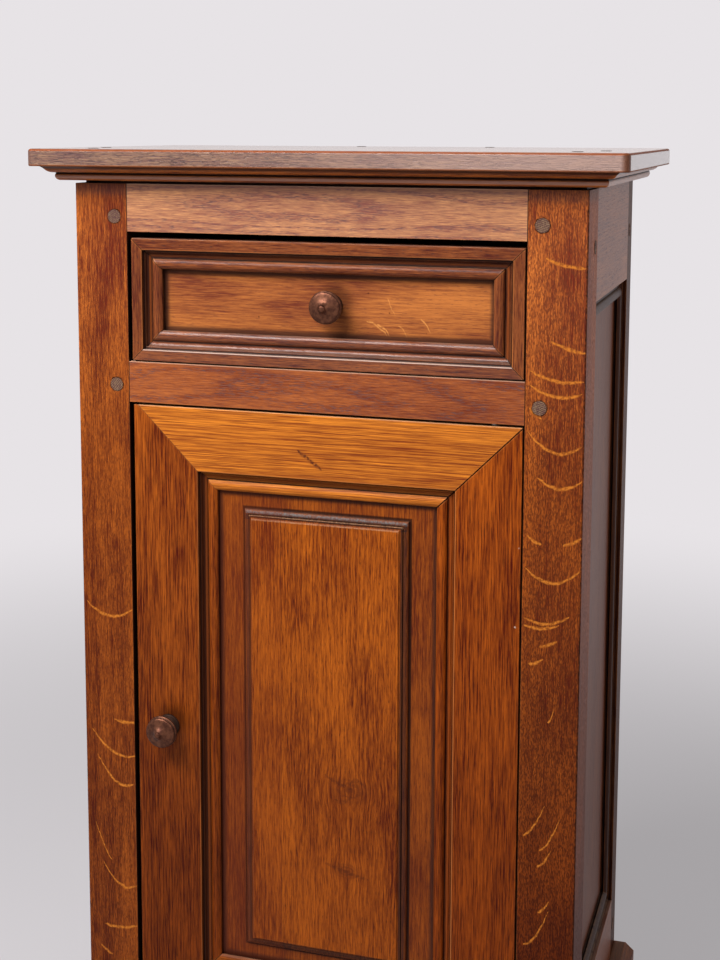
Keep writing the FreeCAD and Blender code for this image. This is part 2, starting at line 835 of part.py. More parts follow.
drawer_names = (
    "drawer_front_bottom", "drawer_front_right", "drawer_front_top", "drawer_front_left",
)
drawer_face = frame_section(
    drawer_face_width, drawer_front_thickness, drawer_panel_seat, drawer_panel_thickness
)
drawer_bars = mitred_frame(
    [drawer_face] * 4, [drawer_face_width] * 4,
    drawer_left, drawer_right, drawer_bottom, drawer_top, front,
)
for name, bar in zip(drawer_names, drawer_bars):
    pieces[name] = bar
tuck = drawer_face_width + panel_tuck
pieces["drawer_panel"] = box(
    drawer_left + tuck, drawer_right - tuck,
    front + drawer_panel_seat, front + drawer_panel_seat + drawer_panel_thickness,
    drawer_bottom + tuck, drawer_top - tuck,
)

side_start = drawer_front_back - drawer_side_housing
box_end = drawer_front_back + drawer_box_length
tail_start = box_end - drawer_side_thickness
drawer_side_inner = drawer_side_outer - drawer_side_thickness
floor_bottom = drawer_side_bottom + drawer_floor_rise
floor_top = floor_bottom + drawer_floor_thickness
tail_pitch = (drawer_side_top - floor_top) / dovetail_count


def dovetail(number):
    """One tail on the back end of the drawer's right side."""
    middle = floor_top + tail_pitch * (number + 0.5)
    neck = dovetail_neck / 2
    wide = neck + dovetail_flare
    corners = [
        V(drawer_side_inner, tail_start, middle - neck),
        V(drawer_side_inner, box_end, middle - wide),
        V(drawer_side_inner, box_end, middle + wide),
        V(drawer_side_inner, tail_start, middle + neck),
    ]
    outline = Part.makePolygon(corners + corners[:1])
    return Part.Face(outline).extrude(V(drawer_side_thickness, 0, 0))


drawer_side = box(
    drawer_side_inner, drawer_side_outer, side_start, tail_start,
    drawer_side_bottom, drawer_side_top,
)
drawer_side = drawer_side.fuse(box(
    drawer_side_inner, drawer_side_outer, tail_start, box_end, drawer_side_bottom, floor_top
))
drawer_back = box(
    -drawer_side_outer, drawer_side_outer, tail_start, box_end, floor_top, drawer_side_top
)
for i in range(dovetail_count):
    drawer_side = drawer_side.fuse(dovetail(i))
    drawer_back = drawer_back.cut(dovetail(i)).cut(mirrored(dovetail(i)))
drawer_side = drawer_side.removeSplitter()
floor_half_width = drawer_side_inner + drawer_floor_groove
drawer_floor = box(
    -floor_half_width, floor_half_width,
    drawer_front_back - drawer_floor_groove, box_end, floor_bottom, floor_top,
)
drawer_side = drawer_side.cut(drawer_floor)
pieces["drawer_side_right"] = drawer_side
pieces["drawer_side_left"] = mirrored(drawer_side)
pieces["drawer_back"] = drawer_back
pieces["drawer_bottom"] = drawer_floor
housing = box(
    drawer_side_inner, drawer_side_outer, side_start, drawer_front_back,
    drawer_side_bottom, drawer_side_top,
)
for name in drawer_names + ("drawer_panel",):
    drill([name], housing)
    drill([name], mirrored(housing))
    drill([name], drawer_floor)

drawer_middle_z = (drawer_top + drawer_bottom) / 2
fit_knob(
    "drawer", "drawer_panel", drawer_knob_offset, front + drawer_panel_seat, drawer_middle_z,
    drawer_panel_thickness,
)

# ---- One file for each piece -------------------------------------------------------------------------------

os.makedirs("parts", exist_ok=True)
for name, shape in pieces.items():
    shape.exportStep(os.path.join("parts", name + ".step"))
print(len(pieces), "pieces written")
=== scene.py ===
import math
import bmesh
import bpy
from mathutils import Euler, Matrix, Vector


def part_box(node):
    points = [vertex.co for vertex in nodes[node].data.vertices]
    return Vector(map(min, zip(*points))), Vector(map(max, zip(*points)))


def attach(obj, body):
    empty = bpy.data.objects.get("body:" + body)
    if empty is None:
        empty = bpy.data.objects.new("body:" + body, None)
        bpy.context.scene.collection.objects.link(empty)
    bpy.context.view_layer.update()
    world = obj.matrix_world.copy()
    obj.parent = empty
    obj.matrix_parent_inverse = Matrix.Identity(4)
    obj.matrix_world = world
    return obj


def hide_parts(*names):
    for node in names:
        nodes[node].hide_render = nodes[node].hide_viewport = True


# A small old oak cupboard, waxed over a red-brown stain: a drawer over one panelled door,
# in a pegged frame under a moulded top. Metres; X to its right, Y to its back, Z up.

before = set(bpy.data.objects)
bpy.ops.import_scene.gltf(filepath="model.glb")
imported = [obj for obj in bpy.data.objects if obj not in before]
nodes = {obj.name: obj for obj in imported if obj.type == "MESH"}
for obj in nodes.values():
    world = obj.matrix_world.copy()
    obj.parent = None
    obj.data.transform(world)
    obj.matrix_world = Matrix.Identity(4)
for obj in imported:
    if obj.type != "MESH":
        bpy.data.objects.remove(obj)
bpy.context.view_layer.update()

# ---- Posts --------------------------------------------------------------------------------------
# Four posts of quarter-sawn oak, mortised for the rails and rubbed round on the outer corners.
# The saw has cut along the tree's rays, so pale ray flecks sag across the faces like hung threads.


def stain(red, green, blue):
    """A wood or wax colour given as it looks, 0 to 255, for a shader's colour socket."""
    shares = [part / 255 for part in (red, green, blue)]
    light = [s / 12.92 if s <= 0.04045 else ((s + 0.055) / 1.055) ** 2.4 for s in shares]
    return (*light, 1.0)


def put(tree, kind, inputs=None, **settings):
    """A shader node; each input is a plain value or another node's socket."""
    node = tree.nodes.new("ShaderNode" + kind)
    for name, value in settings.items():
        setattr(node, name, value)
    for name, value in (inputs or {}).items():
        if isinstance(value, bpy.types.NodeSocket):
            tree.links.new(value, node.inputs[name])
        else:
            node.inputs[name].default_value = value
    return node


def maths(tree, operation, *values):
    """The result of one sum on sockets or numbers."""
    return put(tree, "Math", dict(enumerate(values)), operation=operation).outputs[0]


def vectors(tree, operation, *values):
    """The result of one sum on vectors, which is a number for a length or a dot product."""
    result = "Value" if operation in ("LENGTH", "DOT_PRODUCT") else "Vector"
    return put(tree, "VectorMath", dict(enumerate(values)), operation=operation).outputs[result]


def split(tree, vector):
    """A vector's X, Y and Z."""
    return put(tree, "SeparateXYZ", {0: vector}).outputs


def ramp(tree, value, low, high, start=0.0, end=1.0):
    """A value carried smoothly from one range into another."""
    limits = {"Value": value, "From Min": low, "From Max": high, "To Min": start, "To Max": end}
    return put(tree, "MapRange", limits, interpolation_type="SMOOTHSTEP").outputs["Result"]


def tint(tree, share, under, over, way="MIX"):
    """One colour laid over another by a share of 0 to 1."""
    layers = {0: share, 6: under, 7: over}
    return put(tree, "Mix", layers, data_type="RGBA", blend_type=way).outputs[2]


def cloud(tree, place, across, along, detail=2.0, roughness=0.5):
    """Soft noise of so many patches a metre, across and along the grain."""
    squeezed = vectors(tree, "MULTIPLY", place, (across, across, along))
    return put(tree, "TexNoise", {"Vector": squeezed, "Scale": 1.0, "Detail": detail,
                                  "Roughness": roughness})


def effect(name, inputs, outputs):
    """A new shader group with its named inputs and outputs."""
    tree = bpy.data.node_groups.new(name, "ShaderNodeTree")
    for label, (kind, value) in inputs.items():
        socket = tree.interface.new_socket(label, in_out="INPUT", socket_type="NodeSocket" + kind)
        if value is not None:
            socket.default_value = value
    for label, kind in outputs.items():
        tree.interface.new_socket(label, in_out="OUTPUT", socket_type="NodeSocket" + kind)
    return tree, tree.nodes.new("NodeGroupInput").outputs, tree.nodes.new("NodeGroupOutput").inputs


def use(tree, group, inputs):
    """The outputs of a shader group placed in a material."""
    return put(tree, "Group", inputs, node_tree=group).outputs


noise_middle = (0.5, 0.5, 0.5)


def make_grain():
    """Oak cut from a tree whose heart is the line x = y = 0: rings, streaks and pores."""
    tree, given, result = effect("Oak grain", {
        "Place": ("Vector", None), "Pale": ("Color", stain(180, 105, 55)),
        "Dark": ("Color", stain(110, 55, 25)), "Pore colour": ("Color", stain(44, 18, 9)),
        "Ring width": ("Float", 0.003), "Rings": ("Float", 0.3), "Wander": ("Float", 0.01),
        "Streaks": ("Float", 1.0), "Threads": ("Float", 1.0), "Mottle": ("Float", 1.0),
        "Pores": ("Float", 0.6), "Pore length": ("Float", 0.012), "Crowd": ("Float", 0.0),
        "Ring pores": ("Float", 0.7), "Length": ("Float", 1.0),
    }, {"Colour": "Color", "Height": "Float", "Pores": "Float"})
    place = given["Place"]
    drift = cloud(tree, place, 7.0, 3.0).outputs["Color"]
    drift = vectors(tree, "SUBTRACT", drift, noise_middle)
    drift = put(tree, "VectorMath", {0: drift, "Scale": given["Wander"]},
                operation="SCALE").outputs[0]
    swayed = vectors(tree, "ADD", place, drift)
    radius = vectors(tree, "LENGTH", vectors(tree, "MULTIPLY", swayed, (1.0, 1.0, 0.0)))
    years = maths(tree, "DIVIDE", radius, given["Ring width"])
    most_uneven = 2.4
    uneven = maths(tree, "MULTIPLY", cloud(tree, place, 55.0, 1.2).outputs[0], most_uneven)
    year = maths(tree, "FRACT", maths(tree, "ADD", years, uneven))
    early = maths(tree, "MULTIPLY", ramp(tree, year, 0.0, 0.2), ramp(tree, year, 0.7, 0.25))
    tone = maths(tree, "MULTIPLY", early, given["Rings"])
    tone = maths(tree, "ADD", tone, 0.5)
    squeeze = maths(tree, "DIVIDE", 1.0, given["Length"])
    longer = put(tree, "CombineXYZ", {"X": 1.0, "Y": 1.0, "Z": squeeze}).outputs[0]
    drawn_out = vectors(tree, "MULTIPLY", place, longer)
    # Each layer's patches a metre across and along the grain, its detail and its roughness.
    layers = {"Mottle": (26.0, 7.0, 3.0, 0.6), "Streaks": (460.0, 14.0, 3.0, 0.6),
              "Threads": (1250.0, 60.0, 3.0, 0.7)}
    for label, scales in layers.items():
        swing = maths(tree, "SUBTRACT", cloud(tree, drawn_out, *scales).outputs[0], 0.5)
        tone = maths(tree, "MULTIPLY_ADD", swing, given[label], tone)
    pores_across = 1400.0
    pores_along = maths(tree, "DIVIDE", 1.0, given["Pore length"])
    grid = {"X": pores_across, "Y": pores_across, "Z": pores_along}
    grid = vectors(tree, "MULTIPLY", place, put(tree, "CombineXYZ", grid).outputs[0])
    dashes = put(tree, "TexNoise", {"Vector": grid, "Scale": 1.0, "Detail": 1.0}).outputs[0]
    first = maths(tree, "MULTIPLY_ADD", given["Crowd"], -0.11, 0.57)
    last = maths(tree, "ADD", first, 0.1)
    pore = ramp(tree, dashes, first, last)
    late = maths(tree, "MULTIPLY", maths(tree, "SUBTRACT", 1.0, early), given["Ring pores"])
    pore = maths(tree, "MULTIPLY", pore, maths(tree, "SUBTRACT", 1.0, late))
    pore = maths(tree, "MULTIPLY", pore, given["Pores"])
    colour = tint(tree, tone, given["Pale"], given["Dark"])
    colour = tint(tree, pore, colour, given["Pore colour"])
    low = maths(tree, "MULTIPLY_ADD", pore, -0.7, 1.0)
    low = maths(tree, "MULTIPLY_ADD", tone, -0.3, low)
    tree.links.new(colour, result["Colour"])
    tree.links.new(low, result["Height"])
    tree.links.new(pore, result["Pores"])
    return tree


def make_bow():
    """One thin bowed line on a front face, such as a ray of the tree or a scratch."""
    tree, given, result = effect("Bow", {
        "Place": ("Vector", None), "Middle": ("Vector", None), "Half length": ("Float", 0.02),
        "Sag": ("Float", 0.005), "Slant": ("Float", 0.0), "Half width": ("Float", 0.001),
    }, {"Line": "Float"})
    parts = split(tree, vectors(tree, "SUBTRACT", given["Place"], given["Middle"]))
    along = maths(tree, "DIVIDE", parts["X"], given["Half length"])
    square = maths(tree, "MULTIPLY", along, along)
    bend = maths(tree, "MULTIPLY", square, given["Sag"])
    bend = maths(tree, "MULTIPLY_ADD", along, given["Slant"], bend)
    away = maths(tree, "ABSOLUTE", maths(tree, "SUBTRACT", parts["Z"], bend))
    taper = maths(tree, "MAXIMUM", maths(tree, "SUBTRACT", 1.0, square), 0.0)
    hair = 0.00001
    reach = maths(tree, "MULTIPLY_ADD", maths(tree, "POWER", taper, 0.4), given["Half width"], hair)
    line = ramp(tree, maths(tree, "DIVIDE", away, reach), 1.3, 0.25)
    line = maths(tree, "MULTIPLY", line, ramp(tree, taper, 0.0, 0.12))
    tree.links.new(line, result["Line"])
    return tree


def make_seam():
    """A thin line where a plane, given by its direction and reach, cuts the surface."""
    tree, given, result = effect("Seam", {
        "Place": ("Vector", None), "Facing": ("Vector", None), "Reach": ("Float", 0.0),
        "Half width": ("Float", 0.0005),
    }, {"Line": "Float"})
    reach = vectors(tree, "DOT_PRODUCT", given["Place"], given["Facing"])
    off = maths(tree, "ABSOLUTE", maths(tree, "SUBTRACT", reach, given["Reach"]))
    line = ramp(tree, maths(tree, "DIVIDE", off, given["Half width"]), 1.0, 0.4)
    tree.links.new(line, result["Line"])
    return tree


def make_hoop():
    """A ring on a front face, round a peg, or a dot where its radius is nothing."""
    tree, given, result = effect("Hoop", {
        "Place": ("Vector", None), "Centre": ("Vector", None), "Radius": ("Float", 0.006),
        "Half width": ("Float", 0.0006),
    }, {"Line": "Float"})
    off = vectors(tree, "SUBTRACT", given["Place"], given["Centre"])
    away = vectors(tree, "LENGTH", vectors(tree, "MULTIPLY", off, (1.0, 0.0, 1.0)))
    away = maths(tree, "ABSOLUTE", maths(tree, "SUBTRACT", away, given["Radius"]))
    line = ramp(tree, maths(tree, "DIVIDE", away, given["Half width"]), 1.0, 0.35)
    tree.links.new(line, result["Line"])
    return tree


def make_handling():
    """Rubbed edges where hands reach; corners darkened, partly as grime and partly as painted
    shade; up-facing ledges paled, partly as dust and partly as painted sheen.
    """
    tree, given, result = effect("Handling", {
        "Place": ("Vector", None), "Edge": ("Float", 0.0016), "Corner": ("Float", 0.006),
    }, {"Worn": "Float", "Grime and shade": "Float", "Dust and sheen": "Float"})
    edge = put(tree, "AmbientOcclusion", {"Distance": given["Edge"]}, inside=True,
               only_local=True, samples=6).outputs["AO"]
    corner = put(tree, "AmbientOcclusion", {"Distance": given["Corner"]}, samples=8).outputs["AO"]
    patches = cloud(tree, given["Place"], 90.0, 25.0, 3.0, 0.6).outputs[0]
    worn = ramp(tree, edge, 0.9, 0.5)
    worn = maths(tree, "MULTIPLY", worn, ramp(tree, patches, 0.35, 0.6, 0.25, 1.0))
    # Corners and hollows darken: grime, and painted shade.
    grime_and_shade = ramp(tree, corner, 0.85, 0.3)
    grime_and_shade = maths(tree, "MULTIPLY", grime_and_shade, ramp(tree, patches, 0.75, 0.3, 0.7, 1.0))
    # Faces turned up grow pale: dust, and painted sheen.
    level = ramp(tree, split(tree, put(tree, "NewGeometry").outputs["Normal"])["Z"], 0.55, 0.95)
    ledge_dust_and_sheen = maths(tree, "MULTIPLY", level, ramp(tree, patches, 0.3, 0.55))
    tree.links.new(worn, result["Worn"])
    tree.links.new(grime_and_shade, result["Grime and shade"])
    tree.links.new(ledge_dust_and_sheen, result["Dust and sheen"])
    return tree


oak_grain = make_grain()
bow_line = make_bow()
seam_line = make_seam()
hoop_line = make_hoop()
handling = make_handling()

grain_turns = {
    "X": Euler((0.0, -math.pi / 2, 0.0)),
    "Y": Euler((math.pi / 2, 0.0, 0.0)),
    "Z": Euler((0.0, 0.0, 0.0)),
}
boards_cut = []
next_board = 0.83


def board_place(tree, node, grain, heart, where):
    """Places in the board's own stretch of tree: Z along the grain, the heart a way off."""
    low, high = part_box(node)
    turn = grain_turns[grain]
    boards_cut.append(node)
    start = next_board * len(boards_cut)
    middle = turn.to_matrix() @ ((low + high) / 2)
    shift = Vector((-heart[0], -heart[1], start)) - middle
    return put(tree, "Mapping", {"Vector": where, "Location": shift, "Rotation": turn},
               vector_type="POINT").outputs[0]


def bowed(bows, half_width):
    """Bowed marks, each through three points (x, z) of a front face, in millimetres."""
    def paint(tree, where):
        lines = None
        for left, middle, right in bows:
            half = (right[0] - left[0]) / 2
            slant = (right[1] - left[1]) / 2
            share = (middle[0] - left[0]) / half - 1.0
            ends = (left[1] + right[1]) / 2
            sag = (ends + slant * share - middle[1]) / (1.0 - share * share)
            centre = (left[0] + half) / 1000, 0.0, (ends - sag) / 1000
            line = use(tree, bow_line, {
                "Place": where, "Middle": centre, "Half length": half / 1000, "Sag": sag / 1000,
                "Slant": slant / 1000, "Half width": half_width,
            })["Line"]
            lines = line if lines is None else maths(tree, "MAXIMUM", lines, line)
        return lines
    return paint


def seam(point, direction, half_width):
    """A thin line where a plane through a point, given with its direction, cuts the surface."""
    def paint(tree, where):
        facing = Vector(direction).normalized()
        return use(tree, seam_line, {"Place": where, "Facing": facing, "Half width": half_width,
                                     "Reach": facing.dot(Vector(point))})["Line"]
    return paint


def level_line(height, half_width):
    """A thin line round a piece at a height."""
    return seam((0.0, 0.0, height), (0.0, 0.0, 1.0), half_width)


def upright_line(x, half_width):
    """A thin line up a piece, so far to the right of the cupboard's middle."""
    return seam((x, 0.0, 0.0), (1.0, 0.0, 0.0), half_width)


def hoops(centres, radius, half_width):
    """Rings round places (x, z) of a front face, in millimetres; dots if the radius is nothing."""
    def paint(tree, where):
        lines = None
        for x, z in centres:
            line = use(tree, hoop_line, {"Place": where, "Centre": (x / 1000, 0.0, z / 1000),
                                         "Radius": radius, "Half width": half_width})["Line"]
            lines = line if lines is None else maths(tree, "MAXIMUM", lines, line)
        return lines
    return paint


def on_front(node, painter, ragged=True):
    """The same marks, kept to the piece's front face; ragged ones are shaky and broken up."""
    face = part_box(node)[0].y
    gone_by, whole_to = face + 0.0012, face + 0.0006
    shakiness = (0.0025, 0.0, 0.003)

    def paint(tree, where):
        front_only = ramp(tree, split(tree, where)["Y"], gone_by, whole_to)
        if not ragged:
            return maths(tree, "MULTIPLY", painter(tree, where), front_only)
        shake = cloud(tree, where, 160.0, 160.0).outputs["Color"]
        shake = vectors(tree, "SUBTRACT", shake, noise_middle)
        lines = painter(tree, vectors(tree, "MULTIPLY_ADD", shake, shakiness, where))
        patchy = ramp(tree, cloud(tree, where, 420.0, 420.0).outputs[0], 0.35, 0.6, 0.3, 1.0)
        return maths(tree, "MULTIPLY", maths(tree, "MULTIPLY", lines, front_only), patchy)
    return paint


def blank(name):
    """A new material with nothing in it yet, and its nodes."""
    made = bpy.data.materials.new(name)
    made.use_nodes = True
    made.node_tree.nodes.clear()
    return made, made.node_tree


def finish_wood(tree, colour, height, roughness, shine, polish, bump):
    """The wood's surface, waxed or bare: one shader, soft corners and the grain's relief."""
    soft = put(tree, "Bevel", {"Radius": 0.0006}, samples=4).outputs[0]
    relief = put(tree, "Bump", {"Strength": bump, "Distance": 0.0004, "Height": height,
                                "Normal": soft}).outputs[0]
    surface = put(tree, "BsdfPrincipled", {
        "Base Color": colour, "Roughness": roughness, "Normal": relief,
        "Specular IOR Level": shine, "Coat Weight": polish, "Coat Roughness": 0.12,
    })
    put(tree, "OutputMaterial", {"Surface": surface.outputs[0]})


def cover(node, made):
    """Puts one material on a whole piece."""
    for slot in nodes[node].material_slots:
        slot.material = made


def shades(tone, spread):
    """A wood's pale and dark shades: the pale one yellower, the dark one redder."""
    pale = [part * (1.0 + spread * gain) for part, gain in zip(tone, (0.6, 0.9, 0.5))]
    dark = [part * (1.0 - spread * loss) for part, loss in zip(tone, (0.62, 0.75, 0.55))]
    return (*pale, 1.0), (*dark, 1.0)


foot_shade_heights = 0.68, 0.12         # from the first down to the second, the wood is darkened and yellowed: painted shade toward the floor
foot_shade_colour = stain(150, 120, 72)
head_sheen_heights = 0.6, 0.83          # from the first up to the second, a paler, bluer painted sheen grows
head_sheen_colour = (1.5, 1.75, 2.6, 1.0)
knot_brown = stain(86, 34, 12)
# Pale for up-facing ledges: dust, and painted sheen where they face the light above.
dust_and_sheen_colour = stain(150, 128, 112)
soil_dullness = 0.2               # what pores, corner grime and shade, and ledge dust and sheen each add to the roughness
bare_dullness = 0.3               # what an edge adds where its polish has worn off


def oak(node, grain, tone, spread=1.0, heart=(0.09, 0.03), ring=0.003, rings=0.25, wander=0.012,
        streaks=0.9, threads=2.6, mottle=1.3, length=1.0, pores=0.5, pore_length=0.01, crowd=0.0,
        ring_pores=0.7, pore_colour=stain(44, 18, 9), knots=(), marks=(),
        rubbed=(0.35, stain(206, 122, 60)), corner_grime_and_shade=(0.95, stain(20, 9, 5)), dust_and_sheen_share=0.3, foot=0.35,
        head=0.0, roughness=0.4, shine=0.08, polish=0.0, bare_edges=(), bump=0.4):
    """Dresses one piece in its own stretch of oak, stained, rubbed, dirtied and marked, with
    painted shade and painted sheen in its colour.
    """
    made, tree = blank("oak_" + node)
    where = put(tree, "TexCoord").outputs["Object"]
    grown = where
    knot_marks = []
    for grow_round in knots:
        grown, dark = grow_round(tree, grown)
        knot_marks.append(dark)
    place = board_place(tree, node, grain, heart, grown)
    pale, dark = shades(tone[:3], spread)
    wood = use(tree, oak_grain, {
        "Place": place, "Pale": pale, "Dark": dark, "Pore colour": pore_colour, "Ring width": ring,
        "Rings": rings, "Wander": wander, "Streaks": streaks, "Threads": threads,
        "Mottle": mottle, "Pores": pores, "Pore length": pore_length, "Crowd": crowd,
        "Ring pores": ring_pores, "Length": length,
    })
    colour = wood["Colour"]
    height = split(tree, where)["Z"]
    # Painted shade: darker and yellower toward the floor, by the share foot.
    foot_shaded = ramp(tree, height, *foot_shade_heights, 0.0, foot)
    colour = tint(tree, foot_shaded, colour, foot_shade_colour, "MULTIPLY")
    # Painted sheen: the wood pales and greys toward the top, by the share head.
    sheen_share = ramp(tree, height, *head_sheen_heights, 0.0, head)
    colour = tint(tree, sheen_share, colour, head_sheen_colour, "MULTIPLY")
    for dark in knot_marks:
        colour = tint(tree, dark, colour, knot_brown)
    handled = use(tree, handling, {"Place": place})
    # Up-facing ledges paled with dust and painted sheen, corners darkened with grime and painted
    # shade.
    layers = [(handled["Dust and sheen"], dust_and_sheen_share, dust_and_sheen_colour), (handled["Grime and shade"], *corner_grime_and_shade)]
    if rubbed[0] > 0:
        layers.insert(0, (handled["Worn"], *rubbed))
    layers += [(painter(tree, where), share, shade) for painter, share, shade in marks]
    for mask, share, shade in layers:
        colour = tint(tree, maths(tree, "MULTIPLY", mask, share), colour, shade)
    rough = roughness
    for mask in (wood["Pores"], handled["Grime and shade"], handled["Dust and sheen"]):
        rough = maths(tree, "MULTIPLY_ADD", mask, soil_dullness, rough)
    if polish > 0:
        bare = ramp(tree, handled["Worn"], 0.0, 0.3)
        for painter in bare_edges:
            bare = maths(tree, "MAXIMUM", bare, painter(tree, where))
        polish = maths(tree, "MULTIPLY_ADD", bare, -polish, polish)
        rough = maths(tree, "MULTIPLY_ADD", bare, bare_dullness, rough)
    finish_wood(tree, colour, wood["Height"], rough, shine, polish, bump)
    cover(node, made)


post_inner = 0.176
post_outer = 0.225
left_rays = [
    ((-222, 494), (-202, 482), (-175, 491)), ((-197, 385), (-186, 383), (-174, 384)),
    ((-219, 374), (-198, 354), (-175, 353)), ((-214, 351), (-198, 328), (-177, 326)),
    ((-217, 285), (-210, 266), (-201, 249)), ((-210, 248), (-196, 229), (-175, 229)),
    ((-210, 186), (-193, 185), (-176, 189)), ((-214, 166), (-208, 160), (-202, 157)),
]
right_rays = [
    ((191, 815), (206, 810), (224, 808)), ((196, 749), (210, 743), (225, 740)),
    ((179, 724), (204, 716), (224, 717)), ((179, 713), (199, 704), (223, 707)),
    ((179, 694), (184, 689), (190, 685)), ((178, 675), (206, 657), (224, 665)),
    ((187, 637), (206, 628), (224, 636)), ((179, 588), (185, 583), (192, 581)),
    ((209, 581), (217, 584), (225, 589)), ((178, 561), (202, 549), (225, 563)),
    ((178, 518), (195, 514), (216, 522)), ((178, 512), (193, 510), (208, 514)),
    ((191, 494), (198, 496), (206, 500)), ((182, 479), (188, 480), (195, 484)),
    ((199, 430), (203, 436), (205, 444)), ((180, 329), (190, 340), (198, 358)),
    ((194, 318), (204, 330), (211, 348)), ((193, 303), (199, 309), (204, 319)),
    ((194, 263), (199, 267), (203, 274)), ((182, 233), (195, 246), (203, 266)),
]
ray_colour = stain(206, 122, 42)
# Near black for dark joints, and for painted shade along the right post's outer arris.
joint_and_shade_black = stain(22, 9, 5)
post_pores = stain(82, 34, 14)
joint_line = 0.0006
peg_line = 188.0
peg_heights = (841.5, 693.6, 97.25)
peg_ring = 0.0062
case_top = 0.870


def post_marks(name, side, rays, arris_line):
    """The marks on a front post: rays, joint lines and dark rings round its pegs, a painted shadow
    band under the top, and a dark outer arris line of grime and painted shade.
    """
    pegs = [(side * peg_line, height) for height in peg_heights]
    return [
        (on_front(name, bowed(rays, 0.0016)), 0.9, ray_colour),
        (on_front(name, hoops(pegs, peg_ring, 0.0009)), 0.85, joint_and_shade_black),
        # Painted shadow: a soft grey-brown band just under the top.
        (level_line(case_top, 0.014), 0.5, stain(74, 50, 46)),
        (upright_line(side * post_inner, joint_line), 0.9, joint_and_shade_black),
        # A dark line down the outer arris: grime and painted shade.
        (on_front(name, upright_line(side * post_outer, arris_line)), 0.85, joint_and_shade_black),
    ]


oak("post_front_left", "Z", stain(140, 65, 22), 1.1, heart=(0.006, 0.11), ring=0.0026, rings=0.15,
    streaks=0.7, threads=2.5, mottle=1.7, pores=0.6, pore_length=0.0035, crowd=0.6, ring_pores=0.2,
    pore_colour=post_pores, head=0.6,
    marks=post_marks("post_front_left", -1, left_rays, 0.0005))
oak("post_front_right", "Z", stain(146, 68, 24), 1.1, heart=(0.006, 0.11), ring=0.0026, rings=0.1,
    streaks=0.6, threads=2.3, mottle=1.4, pores=0.75, pore_length=0.003, crowd=1.0,
    ring_pores=0.1, pore_colour=post_pores, foot=1.0, head=0.9,
    marks=post_marks("post_front_right", 1, right_rays, 0.0016))
# The rear posts are toned near black, partly as painted shade at the back of the case.
for name in ("post_rear_left", "post_rear_right"):
    oak(name, "Z", stain(78, 39, 21), heart=(0.006, 0.11), ring=0.0026, shine=0.04)

# ---- Rails across the front and the back --------------------------------------------------------
# Straight rails, tenoned into the posts and pegged. The front ones are flat-sawn, so their faces
# show long flames of grain; the back ones were never stained and have only darkened with age.

rail_grey = stain(98, 66, 62)
# The top rail's pale greyish-pink tone holds a painted sheen.
front_rails = {
    "front_top_rail": (stain(170, 110, 80), 0.8, 0.3, 0.8),
    "front_middle_rail": (stain(148, 75, 40), 0.8, 0.15, 0.8),
    "front_bottom_rail": (stain(128, 62, 26), 0.8, 0.1, 0.5),
}
# Marks: a soft grey-brown band just under the top is painted shadow; the pale line on each rail's
# upper arris is wear and painted highlight; dark joint lines at the posts.
for name, (tone, spread, shine, pores) in front_rails.items():
    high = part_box(name)[1].z
    oak(name, "X", tone, spread, heart=(0.0, 0.02), ring=0.0042, rings=0.25, wander=0.03,
        streaks=0.6, threads=2.8, mottle=1.2, pores=pores, pore_length=0.006, crowd=0.4,
        pore_colour=rail_grey, roughness=0.42, shine=shine,
        marks=[(level_line(case_top, 0.008), 0.45, rail_grey),
               (level_line(high, 0.0009), 0.5, stain(214, 168, 140))]
        + [(upright_line(side * post_inner, joint_line), 0.9, joint_and_shade_black) for side in (-1, 1)])


def raw_oak(name, grain, **cut):
    """Oak that was never stained or waxed, and has only darkened with age."""
    oak(name, grain, stain(160, 108, 78), 0.5, pore_colour=stain(84, 52, 34), foot=0.0,
        roughness=0.75, shine=0.2, **cut)


for name in ("back_top_rail", "back_middle_rail", "back_bottom_rail"):
    raw_oak(name, "X", heart=(0.01, 0.06))

# ---- Side frames --------------------------------------------------------------------------------
# Rails tenoned front to back between the posts, a thin panel loose in its grooves, and a mitred
# moulding planted in the corner between frame and panel.

for side in ("left", "right"):
    oak("side_top_rail_" + side, "Y", stain(128, 66, 34), 0.7, heart=(0.03, 0.03), rings=0.1,
        shine=0.3)
    oak("side_bottom_rail_" + side, "Y", stain(118, 58, 28), 0.7, heart=(0.03, 0.04), rings=0.1,
        shine=0.3)
    # The panel is toned darker than the rails, and the moulding near black: painted shade of the
    # recess.
    oak("side_panel_" + side, "Z", stain(104, 52, 28), 0.7, heart=(0.09, 0.02), rings=0.1,
        mottle=1.0, pores=0.3, shine=0.15)
    oak("side_moulding_" + side, "Z", stain(60, 30, 18), 0.7, rings=0.1)

# ---- Pegs ---------------------------------------------------------------------------------------
# Riven oak pegs driven through posts and tenons, and others down through the top. They stand a
# hair proud, showing dark end grain.

for name, grain, tone in (("case_pegs", "Y", stain(116, 86, 72)),
                          ("top_pegs", "Z", stain(70, 48, 38))):
    oak(name, grain, tone, 0.9, ring=0.0015, rings=0.6, streaks=1.6, threads=2.0, roughness=0.65,
        rubbed=(0.0, tone), corner_grime_and_shade=(1.0, stain(24, 12, 9)))

# ---- Plinth -------------------------------------------------------------------------------------
# Three oak planks, stained like the case, with an upper edge that is bevelled and rubbed pale.
# They are mitred at the two front corners and glued round the foot of the case.

for name, grain in (("plinth_front", "X"), ("plinth_left", "Y"), ("plinth_right", "Y")):
    oak(name, grain, stain(118, 56, 24), heart=(0.02, 0.05), wander=0.02,
        rubbed=(0.6, stain(186, 104, 52)))

# ---- Top ----------------------------------------------------------------------------------------
# One thin oak board with rounded edges, pegged down over an ogee moulding that is mitred at the
# front corners. The board is greyer than the case, with bright rubbed edges, and a painted sheen
# pales its front toward the right, its top and its right end.


def toward(direction, start, end):
    """A share that grows from nothing to all between two distances along a direction."""
    def paint(tree, where):
        return ramp(tree, vectors(tree, "DOT_PRODUCT", where, direction), start, end)
    return paint


